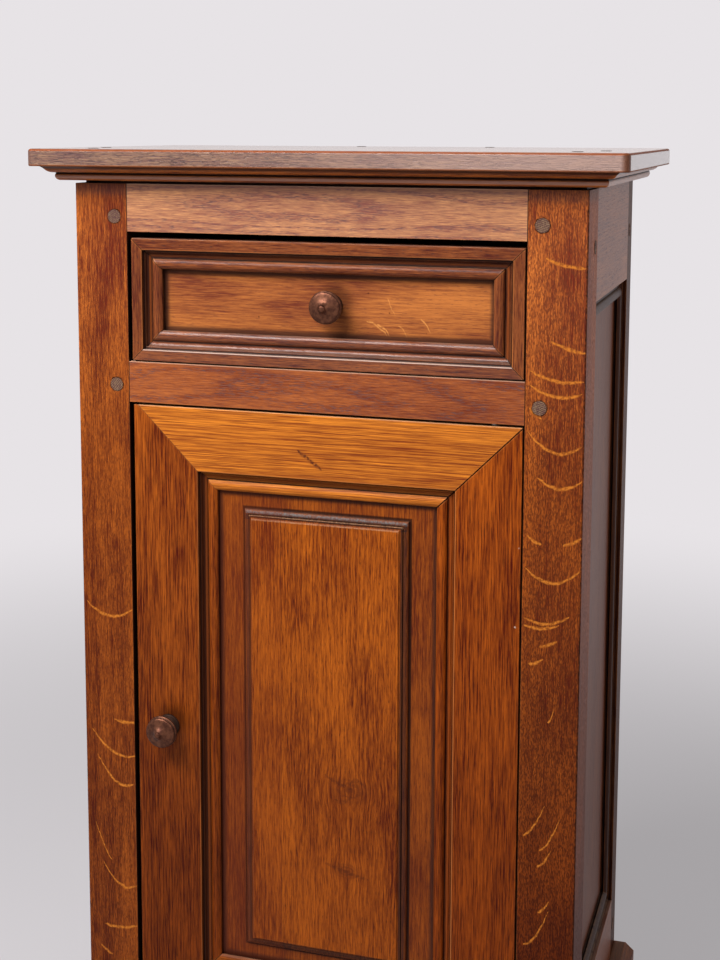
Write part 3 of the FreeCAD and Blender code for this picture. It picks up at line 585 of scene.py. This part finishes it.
slab_low, slab_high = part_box("top_board")
rightward = (1.0, 0.0, 0.0)
# Painted sheen and reflection: the front pales toward the right, and the right end and the flat top
# are paler still.
rightward_sheen = toward(rightward, -0.15, 0.26)
right_end_sheen = toward(rightward, slab_high.x - 0.0016, slab_high.x - 0.0006)
top_face_sheen = toward((0.0, 0.0, 1.0), slab_high.z - 0.0002, slab_high.z - 0.00005)
orange_edge = stain(134, 62, 14)
left_corner = seam((slab_low.x, slab_low.y, 0.0), (-1, -1, 0), 0.0040)
right_corner = seam((slab_high.x, slab_low.y, 0.0), (1, -1, 0), 0.0055)
upper_arris = level_line(slab_high.z - 0.0013, 0.0012)
lower_arris = level_line(slab_low.z, 0.0018)
oak("top_board", "X", stain(120, 83, 70), 0.9, heart=(0.04, 0.12), ring=0.0034, rings=0.12,
    wander=0.03, streaks=0.35, threads=2.8, mottle=0.8, pores=0.8, pore_length=0.005,
    ring_pores=0.3, crowd=0.3, pore_colour=stain(64, 40, 38), rubbed=(0.95, orange_edge),
    roughness=0.3, shine=0.2, polish=0.9, dust_and_sheen_share=0.0, bump=1.0,
    bare_edges=(left_corner, right_corner, upper_arris, lower_arris),
    marks=[(rightward_sheen, 0.5, stain(196, 164, 152)), (right_end_sheen, 0.4, stain(206, 192, 190)),
           (top_face_sheen, 0.25, stain(206, 188, 176)),
           (lower_arris, 0.85, stain(150, 80, 32)), (upper_arris, 0.9, orange_edge),
           (left_corner, 0.85, stain(84, 42, 20)), (right_corner, 0.9, stain(100, 50, 16))])
ogee_foot = slab_low.z - 0.0062
bead_middle = slab_low.z - 0.0095
gap_start, gap_depth = 0.0118 - slab_low.z, 0.0128 - slab_low.z
# Painted light on the moulding: a dark band of shadow under the board, a dark line at the ogee's
# foot, a pale highlight along the bead, and dark shadow in the gap beneath it.
for name, grain in (("top_moulding_front", "X"), ("top_moulding_left", "Y"),
                    ("top_moulding_right", "Y")):
    oak(name, grain, stain(158, 80, 28), heart=(0.02, 0.06), rings=0.1, roughness=0.3, shine=0.2,
        rubbed=(0.7, stain(206, 108, 36)), corner_grime_and_shade=(0.9, stain(26, 11, 6)), dust_and_sheen_share=0.0,
        marks=[(level_line(slab_low.z, 0.0034), 0.9, stain(44, 18, 8)),
               (level_line(ogee_foot, 0.0014), 0.9, stain(34, 14, 7)),
               (level_line(bead_middle, 0.0018), 0.7, stain(190, 144, 126)),
               (toward((0.0, 0.0, -1.0), gap_start, gap_depth), 0.8, stain(44, 20, 12))])

# ---- Back, floor and shelf ----------------------------------------------------------------------
# Three half-lapped boards stand upright across the back. The cupboard's floor and its shelf lie
# on cleats along both sides. All of it is raw oak.

for name in ("back_board_left", "back_board_middle", "back_board_right"):
    raw_oak(name, "Z", heart=(0.02, 0.03), ring=0.004, rings=0.4, wander=0.03)
for name, grain in (("bottom_board", "X"), ("shelf", "X"), ("bottom_cleats", "Y"),
                    ("shelf_cleats", "Y")):
    raw_oak(name, grain, heart=(0.02, 0.06))

# ---- Drawer runners, kickers and stops ----------------------------------------------------------
# Plain strips that carry the drawer, keep it from tipping and stop it, and the strip that stops
# the door, all of raw oak.

for name in ("drawer_runner_left", "drawer_runner_right", "drawer_kickers"):
    raw_oak(name, "Y")
for name, grain in (("drawer_stops", "X"), ("door_stop", "Z")):
    raw_oak(name, grain)

# ---- Door ---------------------------------------------------------------------------------------
# Two stiles and two rails, mitred, with the moulding worked on their inner edges, round a panel
# of two boards whose field stands up inside a beaded, stepped edge.


def make_border():
    """On the front only: a line round a rectangle, a distance outside it, and all beyond it."""
    tree, given, result = effect("Border", {
        "Place": ("Vector", None), "Middle": ("Vector", None), "Half size": ("Vector", None),
        "Distance": ("Float", 0.0), "Half width": ("Float", 0.0005),
    }, {"Line": "Float", "Outside": "Float"})
    off = vectors(tree, "SUBTRACT", given["Place"], given["Middle"])
    front = ramp(tree, split(tree, off)["Y"], 0.0005, -0.0005)
    off = vectors(tree, "SUBTRACT", vectors(tree, "ABSOLUTE", off), given["Half size"])
    parts = split(tree, off)
    away = maths(tree, "SUBTRACT", maths(tree, "MAXIMUM", parts["X"], parts["Z"]),
                 given["Distance"])
    away = maths(tree, "DIVIDE", away, given["Half width"])
    line = ramp(tree, maths(tree, "ABSOLUTE", away), 1.0, 0.3)
    tree.links.new(maths(tree, "MULTIPLY", line, front), result["Line"])
    beyond = ramp(tree, away, -0.5, 0.5)
    tree.links.new(maths(tree, "MULTIPLY", beyond, front), result["Outside"])
    return tree


def border(middle, half, distance, half_width, part="Line"):
    """A line round a rectangle, given by its middle and half size, or all that lies outside."""
    def paint(tree, where):
        return use(tree, border_line, {"Place": where, "Middle": middle, "Half size": half,
                                       "Distance": distance, "Half width": half_width})[part]
    return paint


def between(painter, low, high):
    """The same marks, kept between two heights and broken into specks."""
    fade = 0.0005

    def paint(tree, where):
        height = split(tree, where)["Z"]
        inside = maths(tree, "MULTIPLY", ramp(tree, height, low - fade, low + fade),
                       ramp(tree, height, high + fade, high - fade))
        lines = maths(tree, "MULTIPLY", painter(tree, where), inside)
        specks = ramp(tree, cloud(tree, where, 700.0, 700.0).outputs[0], 0.4, 0.6, 0.25, 1.0)
        return maths(tree, "MULTIPLY", lines, specks)
    return paint


border_line = make_border()
# Near black for dark mitre joints, and for painted shade in the mouldings' creases.
line_dirt_and_shade = stain(26, 11, 7)
lap = Vector((0.009, 0.0, 0.009))  # how far a frame and its moulding cover the panel's edge


def opening(panel):
    """Middle and half size of the rectangle inside a frame's moulding, from its panel's box."""
    low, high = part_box(panel)
    return (low + high) / 2, (high - low) / 2 - lap


mitre_line = 0.0005


def mitre_seams(middle, half, topleft):
    """The mitre lines of a frame, which run out at 45 degrees from the corners inside it."""
    shares = {"topleft": topleft}
    lines = {}
    for upright, side in (("left", -1), ("right", 1)):
        for level, up in (("bottom", -1), ("top", 1)):
            corner = middle + Vector((side * half.x, 0.0, up * half.z))
            painter = seam(corner, (1.0, 0.0, -side * up), mitre_line)
            lines[level + upright] = (painter, shares.get(level + upright, 0.9), line_dirt_and_shade)
    return lines


# The cove's darkening and the dark lines are painted shade and shadow; the gleam is painted light
# in the cove.
# How far outside the opening each line of the moulding lies, and half its width.
cove = 0.0135, 0.0052
cove_gleam = 0.0118, 0.0012
bead_edge = 0.0096, 0.0008
step_foot = 0.0162, 0.0008
face_arris = 0.0173, 0.0006
bead_foot = -0.0004, 0.0009


def moulding_lines(middle, half, cove_shade, arris, arris_colour):
    """Painted shade in a frame's moulding: in its cove, at its bead's edges and at its step's foot;
    a painted glow in the cove; and a line on the flat face's edge, wear with painted highlight.
    """
    lines = [(cove, cove_shade, stain(44, 20, 12)), (cove_gleam, 0.4, stain(168, 84, 30)),
             (bead_edge, 0.85, line_dirt_and_shade), (step_foot, 0.85, line_dirt_and_shade),
             (face_arris, arris, arris_colour), (bead_foot, 0.8, line_dirt_and_shade)]
    return [(border(middle, half, *line), share, shade) for line, share, shade in lines]


door_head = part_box("door_top_rail")[1].z
sight = opening("door_panel")
door_mitres = mitre_seams(*sight, 0.4)
orange_wear = stain(202, 122, 62)
knob_halo_reach = 0.021
knob_halo_shift = Vector((0.004, 0.0, 0.003))


def knob_shadow_and_grime(owner, face):
    """A dark halo on the wood round a knob, shifted up and to the right: grime left by fingers, and
    the knob's painted shadow.
    """
    low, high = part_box(owner + "_knob")
    middle = (low + high) / 2 + knob_halo_shift
    dark_halo = hoops([(middle.x * 1000, middle.z * 1000)], 0.0, knob_halo_reach)
    return on_front(face, dark_halo, ragged=False), 0.6, stain(40, 15, 7)


fleck_pale = stain(214, 190, 170)
specks = on_front("door_hinge_stile", hoops([(171, 509), (173, 576), (118, 582)], 0.0, 0.001))
scratch = on_front("door_top_rail", bowed([((-20, 645), (-8, 637), (3, 629))], 0.0024))
# The shares given to moulding_lines follow the light: the cove's painted shade is deepest on the
# left stile, and the arris line, wear and painted highlight, is strongest on the bottom and
# right-hand members. The pale line along the top rail's upper edge is wear and painted highlight.
oak("door_top_rail", "X", stain(188, 102, 35), 1.0, heart=(0.09, 0.03), ring=0.0028, rings=0.08,
    streaks=0.8, threads=2.6, mottle=0.6, length=3.0, pores=0.75, pore_length=0.03, ring_pores=0.3,
    pore_colour=stain(122, 58, 20),
    marks=[(level_line(door_head, 0.0010), 0.4, stain(218, 160, 112)),
           (scratch, 0.95, stain(78, 34, 22)), door_mitres["topleft"], door_mitres["topright"]]
    + moulding_lines(*sight, 0.5, 0.3, orange_wear))
oak("door_bottom_rail", "X", stain(132, 62, 20), heart=(0.09, 0.03), ring=0.0028,
    marks=[door_mitres["bottomleft"], door_mitres["bottomright"]]
    + moulding_lines(*sight, 0.3, 0.5, orange_wear))
oak("door_lock_stile", "Z", stain(142, 64, 18), 1.2, heart=(0.09, 0.03), ring=0.0028, rings=0.1,
    length=1.5, foot=0.75, marks=[door_mitres["topleft"], door_mitres["bottomleft"],
                                 knob_shadow_and_grime("door", "door_lock_stile")]
    + moulding_lines(*sight, 0.85, 0.2, orange_wear))
oak("door_hinge_stile", "Z", stain(144, 62, 14), 1.2, heart=(0.09, 0.03), ring=0.0028, rings=0.1,
    length=1.5, foot=0.6, marks=[door_mitres["topright"], door_mitres["bottomright"],
                                 (specks, 0.85, fleck_pale)]
    + moulding_lines(*sight, 0.35, 0.5, orange_wear))

flat_border = Vector((0.024, 0.0, 0.0145))
field_middle = sight[0]
field_half = sight[1] - flat_border
field_head = field_middle.z + field_half.z
board_joint = field_middle.x - 0.53 * field_half.x
board_gap = 0.0004


def round_field(distance, half_width):
    """A line round the raised field, outside its outline, or inside where it is less than 0."""
    return border(field_middle, field_half, distance, half_width)


def at_head(painter, lowest, highest):
    """The same line along the field's head only, between two heights measured from there."""
    return between(painter, field_head + lowest, field_head + highest)


# Round the field, the dark lines at its foot and in its quirk are painted shade, and its nose is
# darkened by dark stain and painted shade. Along its head, whitish specks on the nose are dust and
# painted glints, and the pale lines on its up-facing edges are painted highlights.
field_foot = round_field(0.0006, 0.0020)
field_nose = round_field(-0.0040, 0.0046)
nose_at_head = at_head(round_field(-0.0040, 0.0044), -0.0090, 0.0010)
field_quirk = round_field(-0.0062, 0.0008)
nose_dust_and_glints = at_head(round_field(-0.0022, 0.0018), -0.0040, 0.0010)
quirk_edge = at_head(round_field(-0.0052, 0.0006), -0.0065, -0.0040)
field_arris = at_head(round_field(-0.0087, 0.0006), -0.0100, -0.0075)
edge_black = stain(40, 28, 28)
edge_pale = stain(190, 142, 104)


def knot(x, z, size):
    """A small knot on a front face, in millimetres: grain bent round it, its core and rim dark."""
    centre = (x / 1000, 0.0, z / 1000)
    ring_count = 11.0

    def grow(tree, place):
        off = vectors(tree, "SUBTRACT", place, centre)
        off = vectors(tree, "MULTIPLY", off, (0.6, 0.0, 1.0))
        sizes = maths(tree, "DIVIDE", vectors(tree, "LENGTH", off), size / 1000)
        push = maths(tree, "MULTIPLY", ramp(tree, sizes, 4.0, 0.0), -0.75)
        push = maths(tree, "DIVIDE", push, maths(tree, "ADD", sizes, 1.0))
        bend = put(tree, "VectorMath", {0: off, "Scale": push}, operation="SCALE").outputs[0]
        ragged = cloud(tree, place, 420.0, 200.0).outputs[0]
        sizes = maths(tree, "ADD", sizes, maths(tree, "MULTIPLY_ADD", ragged, 0.9, -0.45))
        rings = maths(tree, "SINE", maths(tree, "MULTIPLY", sizes, ring_count))
        rings = maths(tree, "MULTIPLY_ADD", rings, 0.2, 0.4)
        halo = maths(tree, "MULTIPLY", ramp(tree, sizes, 1.9, 0.7), rings)
        core = ramp(tree, sizes, 0.7, 0.1, 0.0, 0.7)
        return vectors(tree, "ADD", place, bend), maths(tree, "MAXIMUM", halo, core)
    return grow


knot_checks = [
    ((4, 358), (15, 352), (30, 348)), ((13, 337), (21, 335), (30, 343)),
    ((26, 352), (34, 356), (41, 350)), ((4, 277), (19, 272), (45, 267)),
]
oak("door_panel", "Z", stain(158, 74, 17), 1.1, heart=(0.16, 0.04), ring=0.0036, rings=0.12,
    wander=0.03, streaks=0.6, threads=2.5, mottle=1.5, foot=0.45, pores=0.5, pore_length=0.005,
    shine=0.1, dust_and_sheen_share=0.3, knots=(knot(27, 346, 8.0), knot(24, 272, 5.0)),
    marks=[(on_front("door_panel", bowed(knot_checks, 0.0022)), 0.55, stain(74, 30, 13)),
           (border(field_middle, field_half, 0.0, 0.001, "Outside"), 0.4, stain(90, 38, 20)),
           # A dark band just inside the moulding: painted shadow of the moulding, with grime.
           (border(*sight, 0.0, 0.006), 0.75, stain(40, 22, 20)),
           (field_foot, 0.85, line_dirt_and_shade), (field_nose, 0.7, edge_black),
           (nose_at_head, 0.9, edge_black), (field_quirk, 0.6, line_dirt_and_shade),
           (nose_dust_and_glints, 0.22, stain(180, 172, 168)), (quirk_edge, 0.7, edge_pale),
           (field_arris, 0.6, edge_pale),
           (toward(rightward, board_joint + board_gap, board_joint - board_gap), 0.2,
            stain(112, 44, 16)),
           (upright_line(board_joint, board_gap), 0.5, stain(84, 36, 16))])

# ---- Drawer -------------------------------------------------------------------------------------
# Its front is framed like the door, with thin flat bands, round a plain panel with its grain laid
# flat. The box behind is raw oak: sides let into the front, and a back dovetailed into them.

drawer_sight = opening("drawer_panel")
drawer_mitres = mitre_seams(*drawer_sight, 0.9)
white_wear_and_highlight = stain(228, 200, 184)
# Each bar: its grain; its mitre ends; the share of painted shade in its cove, deepest on the left
# bar, which faces away from the lamp; the share of its face's arris line; that line's colour, white
# wear with painted highlight on the up-facing bottom bar; its shine.
drawer_bars = {
    "drawer_front_bottom": ("X", ("bottomleft", "bottomright"), 0.3, 0.7, white_wear_and_highlight, 0.35),
    "drawer_front_top": ("X", ("topleft", "topright"), 0.6, 0.1, orange_wear, 0.12),
    "drawer_front_left": ("Z", ("topleft", "bottomleft"), 0.8, 0.2, orange_wear, 0.1),
    "drawer_front_right": ("Z", ("topright", "bottomright"), 0.5, 0.3, orange_wear, 0.1),
}
for name, (grain, ends, cove_shade, arris, arris_colour, shine) in drawer_bars.items():
    oak(name, grain, stain(120, 60, 34), 1.1, heart=(0.09, 0.03), rings=0.1,
        rubbed=(0.5, orange_wear), pores=0.7, pore_length=0.005, pore_colour=stain(60, 34, 30),
        roughness=0.28, shine=shine, marks=moulding_lines(*drawer_sight, cove_shade, arris, arris_colour)
        + [drawer_mitres[end] for end in ends])
cross_flecks = [
    ((38, 757), (48, 753), (57, 745)), ((47, 755), (54, 751), (60, 744)),
    ((66, 754), (71, 750), (74, 744)), ((85, 761), (90, 756), (94, 749)),
    ((56, 777), (60, 769), (63, 762)),
]
oak("drawer_panel", "X", stain(156, 85, 45), 0.9, heart=(0.05, 0.03), rings=0.1, streaks=0.4,
    threads=1.9, mottle=2.2, pores=0.5, pore_length=0.005, pore_colour=stain(96, 50, 34),
    shine=0.12,
    marks=[knob_shadow_and_grime("drawer", "drawer_panel"),
           (on_front("drawer_panel", bowed(cross_flecks, 0.0011)), 0.7, stain(224, 150, 78)),
           (on_front("drawer_panel", hoops([(-58, 757), (58, 765), (90, 749), (40, 781)], 0.0,
                                           0.0011)), 0.8, stain(60, 22, 12)),
           # A dark band just inside the moulding: painted shadow of the moulding, with grime.
           (border(*drawer_sight, 0.0, 0.0055), 0.8, stain(56, 30, 24))])
for name, grain in (("drawer_side_left", "Y"), ("drawer_side_right", "Y"), ("drawer_back", "X"),
                    ("drawer_bottom", "X")):
    raw_oak(name, grain, heart=(0.02, 0.05))

# ---- Knobs --------------------------------------------------------------------------------------
# Turned bronze knobs, brown with age and bright where fingers rub: a rosette, a waisted neck, two
# rings and a bell-shaped face that ends in a little boss. Each is held by a screw from behind.

knob_turns = 96
neck_dark, neck_end = 0.011, 0.014
knob_outline = [
    (0.0100, 0.0000), (0.0101, 0.0008), (0.0098, 0.0014), (0.0086, 0.0019), (0.0072, 0.0025),
    (0.0060, 0.0033), (0.0050, 0.0044), (0.0046, 0.0060), (0.0045, 0.0082), (0.0049, 0.0104),
    (0.0058, 0.0121), (0.0074, 0.0134), (0.0104, 0.0140), (0.0130, 0.0143), (0.0139, 0.0147),
    (0.0142, 0.0153), (0.0142, 0.0162), (0.0138, 0.0168), (0.0128, 0.0171), (0.0124, 0.0174),
    (0.0124, 0.0180), (0.0130, 0.0184), (0.0134, 0.0189), (0.0134, 0.0195), (0.0130, 0.0201),
    (0.0120, 0.0206), (0.0104, 0.0209), (0.0088, 0.0213), (0.0073, 0.0218), (0.0060, 0.0224),
    (0.0048, 0.0232), (0.0039, 0.0241), (0.0032, 0.0249), (0.0028, 0.0255), (0.0027, 0.0261),
    (0.0023, 0.0266), (0.0014, 0.0269), (0.0006, 0.0270),
]


def bronze(owner):
    """Aged bronze: brown in the hollows, warmer on the high rings, and darkened near the wood as
    painted shade.
    """
    made, tree = blank("aged_bronze_" + owner)
    place = put(tree, "TexCoord").outputs["Object"]
    corner = put(tree, "AmbientOcclusion", {"Distance": 0.006}, samples=8,
                 only_local=True).outputs["AO"]
    edge = put(tree, "AmbientOcclusion", {"Distance": 0.0012}, samples=8, inside=True,
               only_local=True).outputs["AO"]
    patches = cloud(tree, place, 260.0, 260.0, 4.0, 0.6).outputs[0]
    specks = ramp(tree, cloud(tree, place, 1500.0, 1500.0, 2.0).outputs[0], 0.6, 0.7)
    colour = tint(tree, ramp(tree, patches, 0.35, 0.65), stain(104, 64, 45), stain(72, 40, 28))
    colour = tint(tree, ramp(tree, edge, 0.8, 0.4), colour, stain(130, 94, 70))
    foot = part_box(owner + "_knob")[1].y
    # Painted shade: the rosette and neck darken toward the wood.
    neck_shade = ramp(tree, split(tree, place)["Y"], foot - neck_end, foot - neck_dark)
    dark = maths(tree, "MAXIMUM", ramp(tree, corner, 0.95, 0.45), neck_shade)
    colour = tint(tree, maths(tree, "MULTIPLY", dark, 0.9), colour, stain(36, 22, 15))
    colour = tint(tree, maths(tree, "MULTIPLY", specks, 0.3), colour, stain(40, 30, 25))
    rough = maths(tree, "MULTIPLY_ADD", patches, 0.2, 0.33)
    rough = maths(tree, "MULTIPLY_ADD", dark, 0.2, rough)
    relief = put(tree, "Bump", {"Strength": 0.2, "Distance": 0.0002, "Height": patches}).outputs[0]
    surface = put(tree, "BsdfPrincipled", {"Base Color": colour, "Metallic": 0.85,
                                           "Roughness": rough, "Normal": relief})
    put(tree, "OutputMaterial", {"Surface": surface.outputs[0]})
    return made


def bring_in(name, data):
    """A new object in the scene."""
    thing = bpy.data.objects.new(name, data)
    bpy.context.scene.collection.objects.link(thing)
    return thing


def turn_knob(owner):
    """A lathe-turned knob that stands where the owner's plain one does."""
    low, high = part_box(owner + "_knob")
    centre = Vector(((low.x + high.x) / 2, high.y, (low.z + high.z) / 2))
    mesh = bpy.data.meshes.new(owner + "_knob_turned")
    shape = bmesh.new()
    rings = []
    for radius, out in knob_outline:
        ring = []
        for step in range(knob_turns):
            angle = 2 * math.pi * step / knob_turns
            offset = Vector((radius * math.cos(angle), -out, radius * math.sin(angle)))
            ring.append(shape.verts.new(centre + offset))
        rings.append(ring)
    for ring, following in zip(rings, rings[1:]):
        for i in range(knob_turns):
            j = (i + 1) % knob_turns
            shape.faces.new((ring[i], ring[j], following[j], following[i]))
    shape.faces.new(rings[0])
    shape.faces.new(rings[-1])
    bmesh.ops.recalc_face_normals(shape, faces=shape.faces)
    for face in shape.faces:
        face.smooth = True
    shape.to_mesh(mesh)
    shape.free()
    knob = bring_in(owner + "_knob_turned", mesh)
    knob.data.materials.append(bronze(owner))
    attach(knob, owner)
    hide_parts(owner + "_knob")


for owner in ("door", "drawer"):
    turn_knob(owner)

# ---- Pins and screws ----------------------------------------------------------------------------
# The door turns on two steel pins, driven into the rail above it and the rail below. Each knob
# is held by a slotted steel screw from behind, with its head against the wood.


def dull_steel():
    """Old steel: grey, with duller brown patches of rust."""
    made, tree = blank("dull_steel")
    place = put(tree, "TexCoord").outputs["Object"]
    patches = cloud(tree, place, 420.0, 420.0, 4.0, 0.6).outputs[0]
    rust = ramp(tree, patches, 0.5, 0.64)
    colour = tint(tree, rust, stain(138, 134, 130), stain(92, 62, 42))
    rough = maths(tree, "MULTIPLY_ADD", rust, 0.35, 0.35)
    metal = ramp(tree, rust, 0.0, 1.0, 1.0, 0.2)
    relief = put(tree, "Bump", {"Strength": 0.4, "Distance": 0.0002, "Height": patches}).outputs[0]
    surface = put(tree, "BsdfPrincipled", {"Base Color": colour, "Metallic": metal,
                                           "Roughness": rough, "Normal": relief})
    put(tree, "OutputMaterial", {"Surface": surface.outputs[0]})
    return made


steel = dull_steel()
for name in ("pivot_pin_top", "pivot_pin_bottom", "door_knob_screw", "drawer_knob_screw"):
    cover(name, steel)

# ---- Floor --------------------------------------------------------------------------------------
# A wide pale floor, mostly matt where the cupboard stands, so that it keeps the shadow. Further
# out it glows in the room's own colour and melts into it.

room_colour = stain(231, 227, 230)
floor_radius = 12.0
glow_reach = 0.6, 2.2             # distances between which the glow grows
glow_shares = 0.35, 1.0


def seen_directly(tree):
    """1 for what the eye, a gloss or a clear thing sees; 0 for what only lights the scene."""
    path = put(tree, "LightPath").outputs
    seen = maths(tree, "MAXIMUM", path["Is Camera Ray"], path["Is Glossy Ray"])
    return maths(tree, "MAXIMUM", seen, path["Is Transmission Ray"])


def lay_floor():
    """The floor's disc and its finish."""
    mesh = bpy.data.meshes.new("floor")
    shape = bmesh.new()
    bmesh.ops.create_circle(shape, cap_ends=True, segments=96, radius=floor_radius)
    shape.to_mesh(mesh)
    shape.free()
    floor = bring_in("floor", mesh)
    made, tree = blank("pale_floor")
    away = vectors(tree, "LENGTH", put(tree, "TexCoord").outputs["Object"])
    far = ramp(tree, away, *glow_reach, *glow_shares)
    far = maths(tree, "MULTIPLY", far, seen_directly(tree))
    matt = put(tree, "BsdfDiffuse", {"Color": stain(206, 202, 205)}).outputs[0]
    glow = put(tree, "Emission", {"Color": room_colour}).outputs[0]
    both = put(tree, "MixShader", {0: far, 1: matt, 2: glow}).outputs[0]
    put(tree, "OutputMaterial", {"Surface": both})
    mesh.materials.append(made)


lay_floor()

# ---- Light --------------------------------------------------------------------------------------
# The room is pale and lights the cupboard weakly from all sides. A wide soft lamp hangs high at
# the front left, and a weaker one at the right.

ambient = 0.2
room = bpy.data.worlds.new("pale_room")
bpy.context.scene.world = room
room.use_nodes = True
room_tree = room.node_tree
room_tree.nodes.clear()
shown = put(room_tree, "Background", {"Color": room_colour, "Strength": 1.0}).outputs[0]
lighting = put(room_tree, "Background", {"Color": (1.0, 1.0, 1.0, 1.0),
                                         "Strength": ambient}).outputs[0]
mixed = put(room_tree, "MixShader", {0: seen_directly(room_tree), 1: lighting, 2: shown}).outputs[0]
put(room_tree, "OutputWorld", {"Surface": mixed})
lit_point = Vector((0.0, 0.0, 0.6))


def hang_lamp(name, place, width, height, power):
    """A soft lamp turned to face the cupboard's middle."""
    lamp = bpy.data.lights.new(name, "AREA")
    lamp.shape = "RECTANGLE"
    lamp.size = width
    lamp.size_y = height
    lamp.energy = power
    holder = bring_in(name, lamp)
    holder.location = place
    holder.rotation_euler = (lit_point - Vector(place)).to_track_quat("-Z", "Y").to_euler()


hang_lamp("front_left_lamp", place=(-0.6, -1.1, 1.85), width=1.3, height=0.6, power=46.0)
hang_lamp("right_lamp", place=(2.2, -0.8, 1.9), width=1.4, height=1.4, power=12.0)

# ---- Camera -------------------------------------------------------------------------------------
# The eye stands a little to the cupboard's right, just above its top, and looks slightly down.
# The lens is shifted, so that the picture reaches further down than up.

view_across = math.radians(17.09)
view_down = math.radians(6.957)
view_tilt = math.radians(0.167)
eye_place = Vector((0.4002, -1.3111, 0.9175))
picture_height = 960
focal_pixels = 1500
sight_above_middle = 168

eye = bpy.data.cameras.new("eye")
eye.sensor_width = 36.0
eye.lens = focal_pixels * eye.sensor_width / picture_height
eye.shift_y = -sight_above_middle / picture_height
eye.clip_start = 0.01
camera = bring_in("eye", eye)
camera.matrix_world = (
    Matrix.Translation(eye_place)
    @ Matrix.Rotation(view_across, 4, "Z")
    @ Matrix.Rotation(math.pi / 2 - view_down, 4, "X")
    @ Matrix.Rotation(view_tilt, 4, "Z")
)
bpy.context.scene.camera = camera
bpy.context.scene.view_settings.view_transform = "Standard"
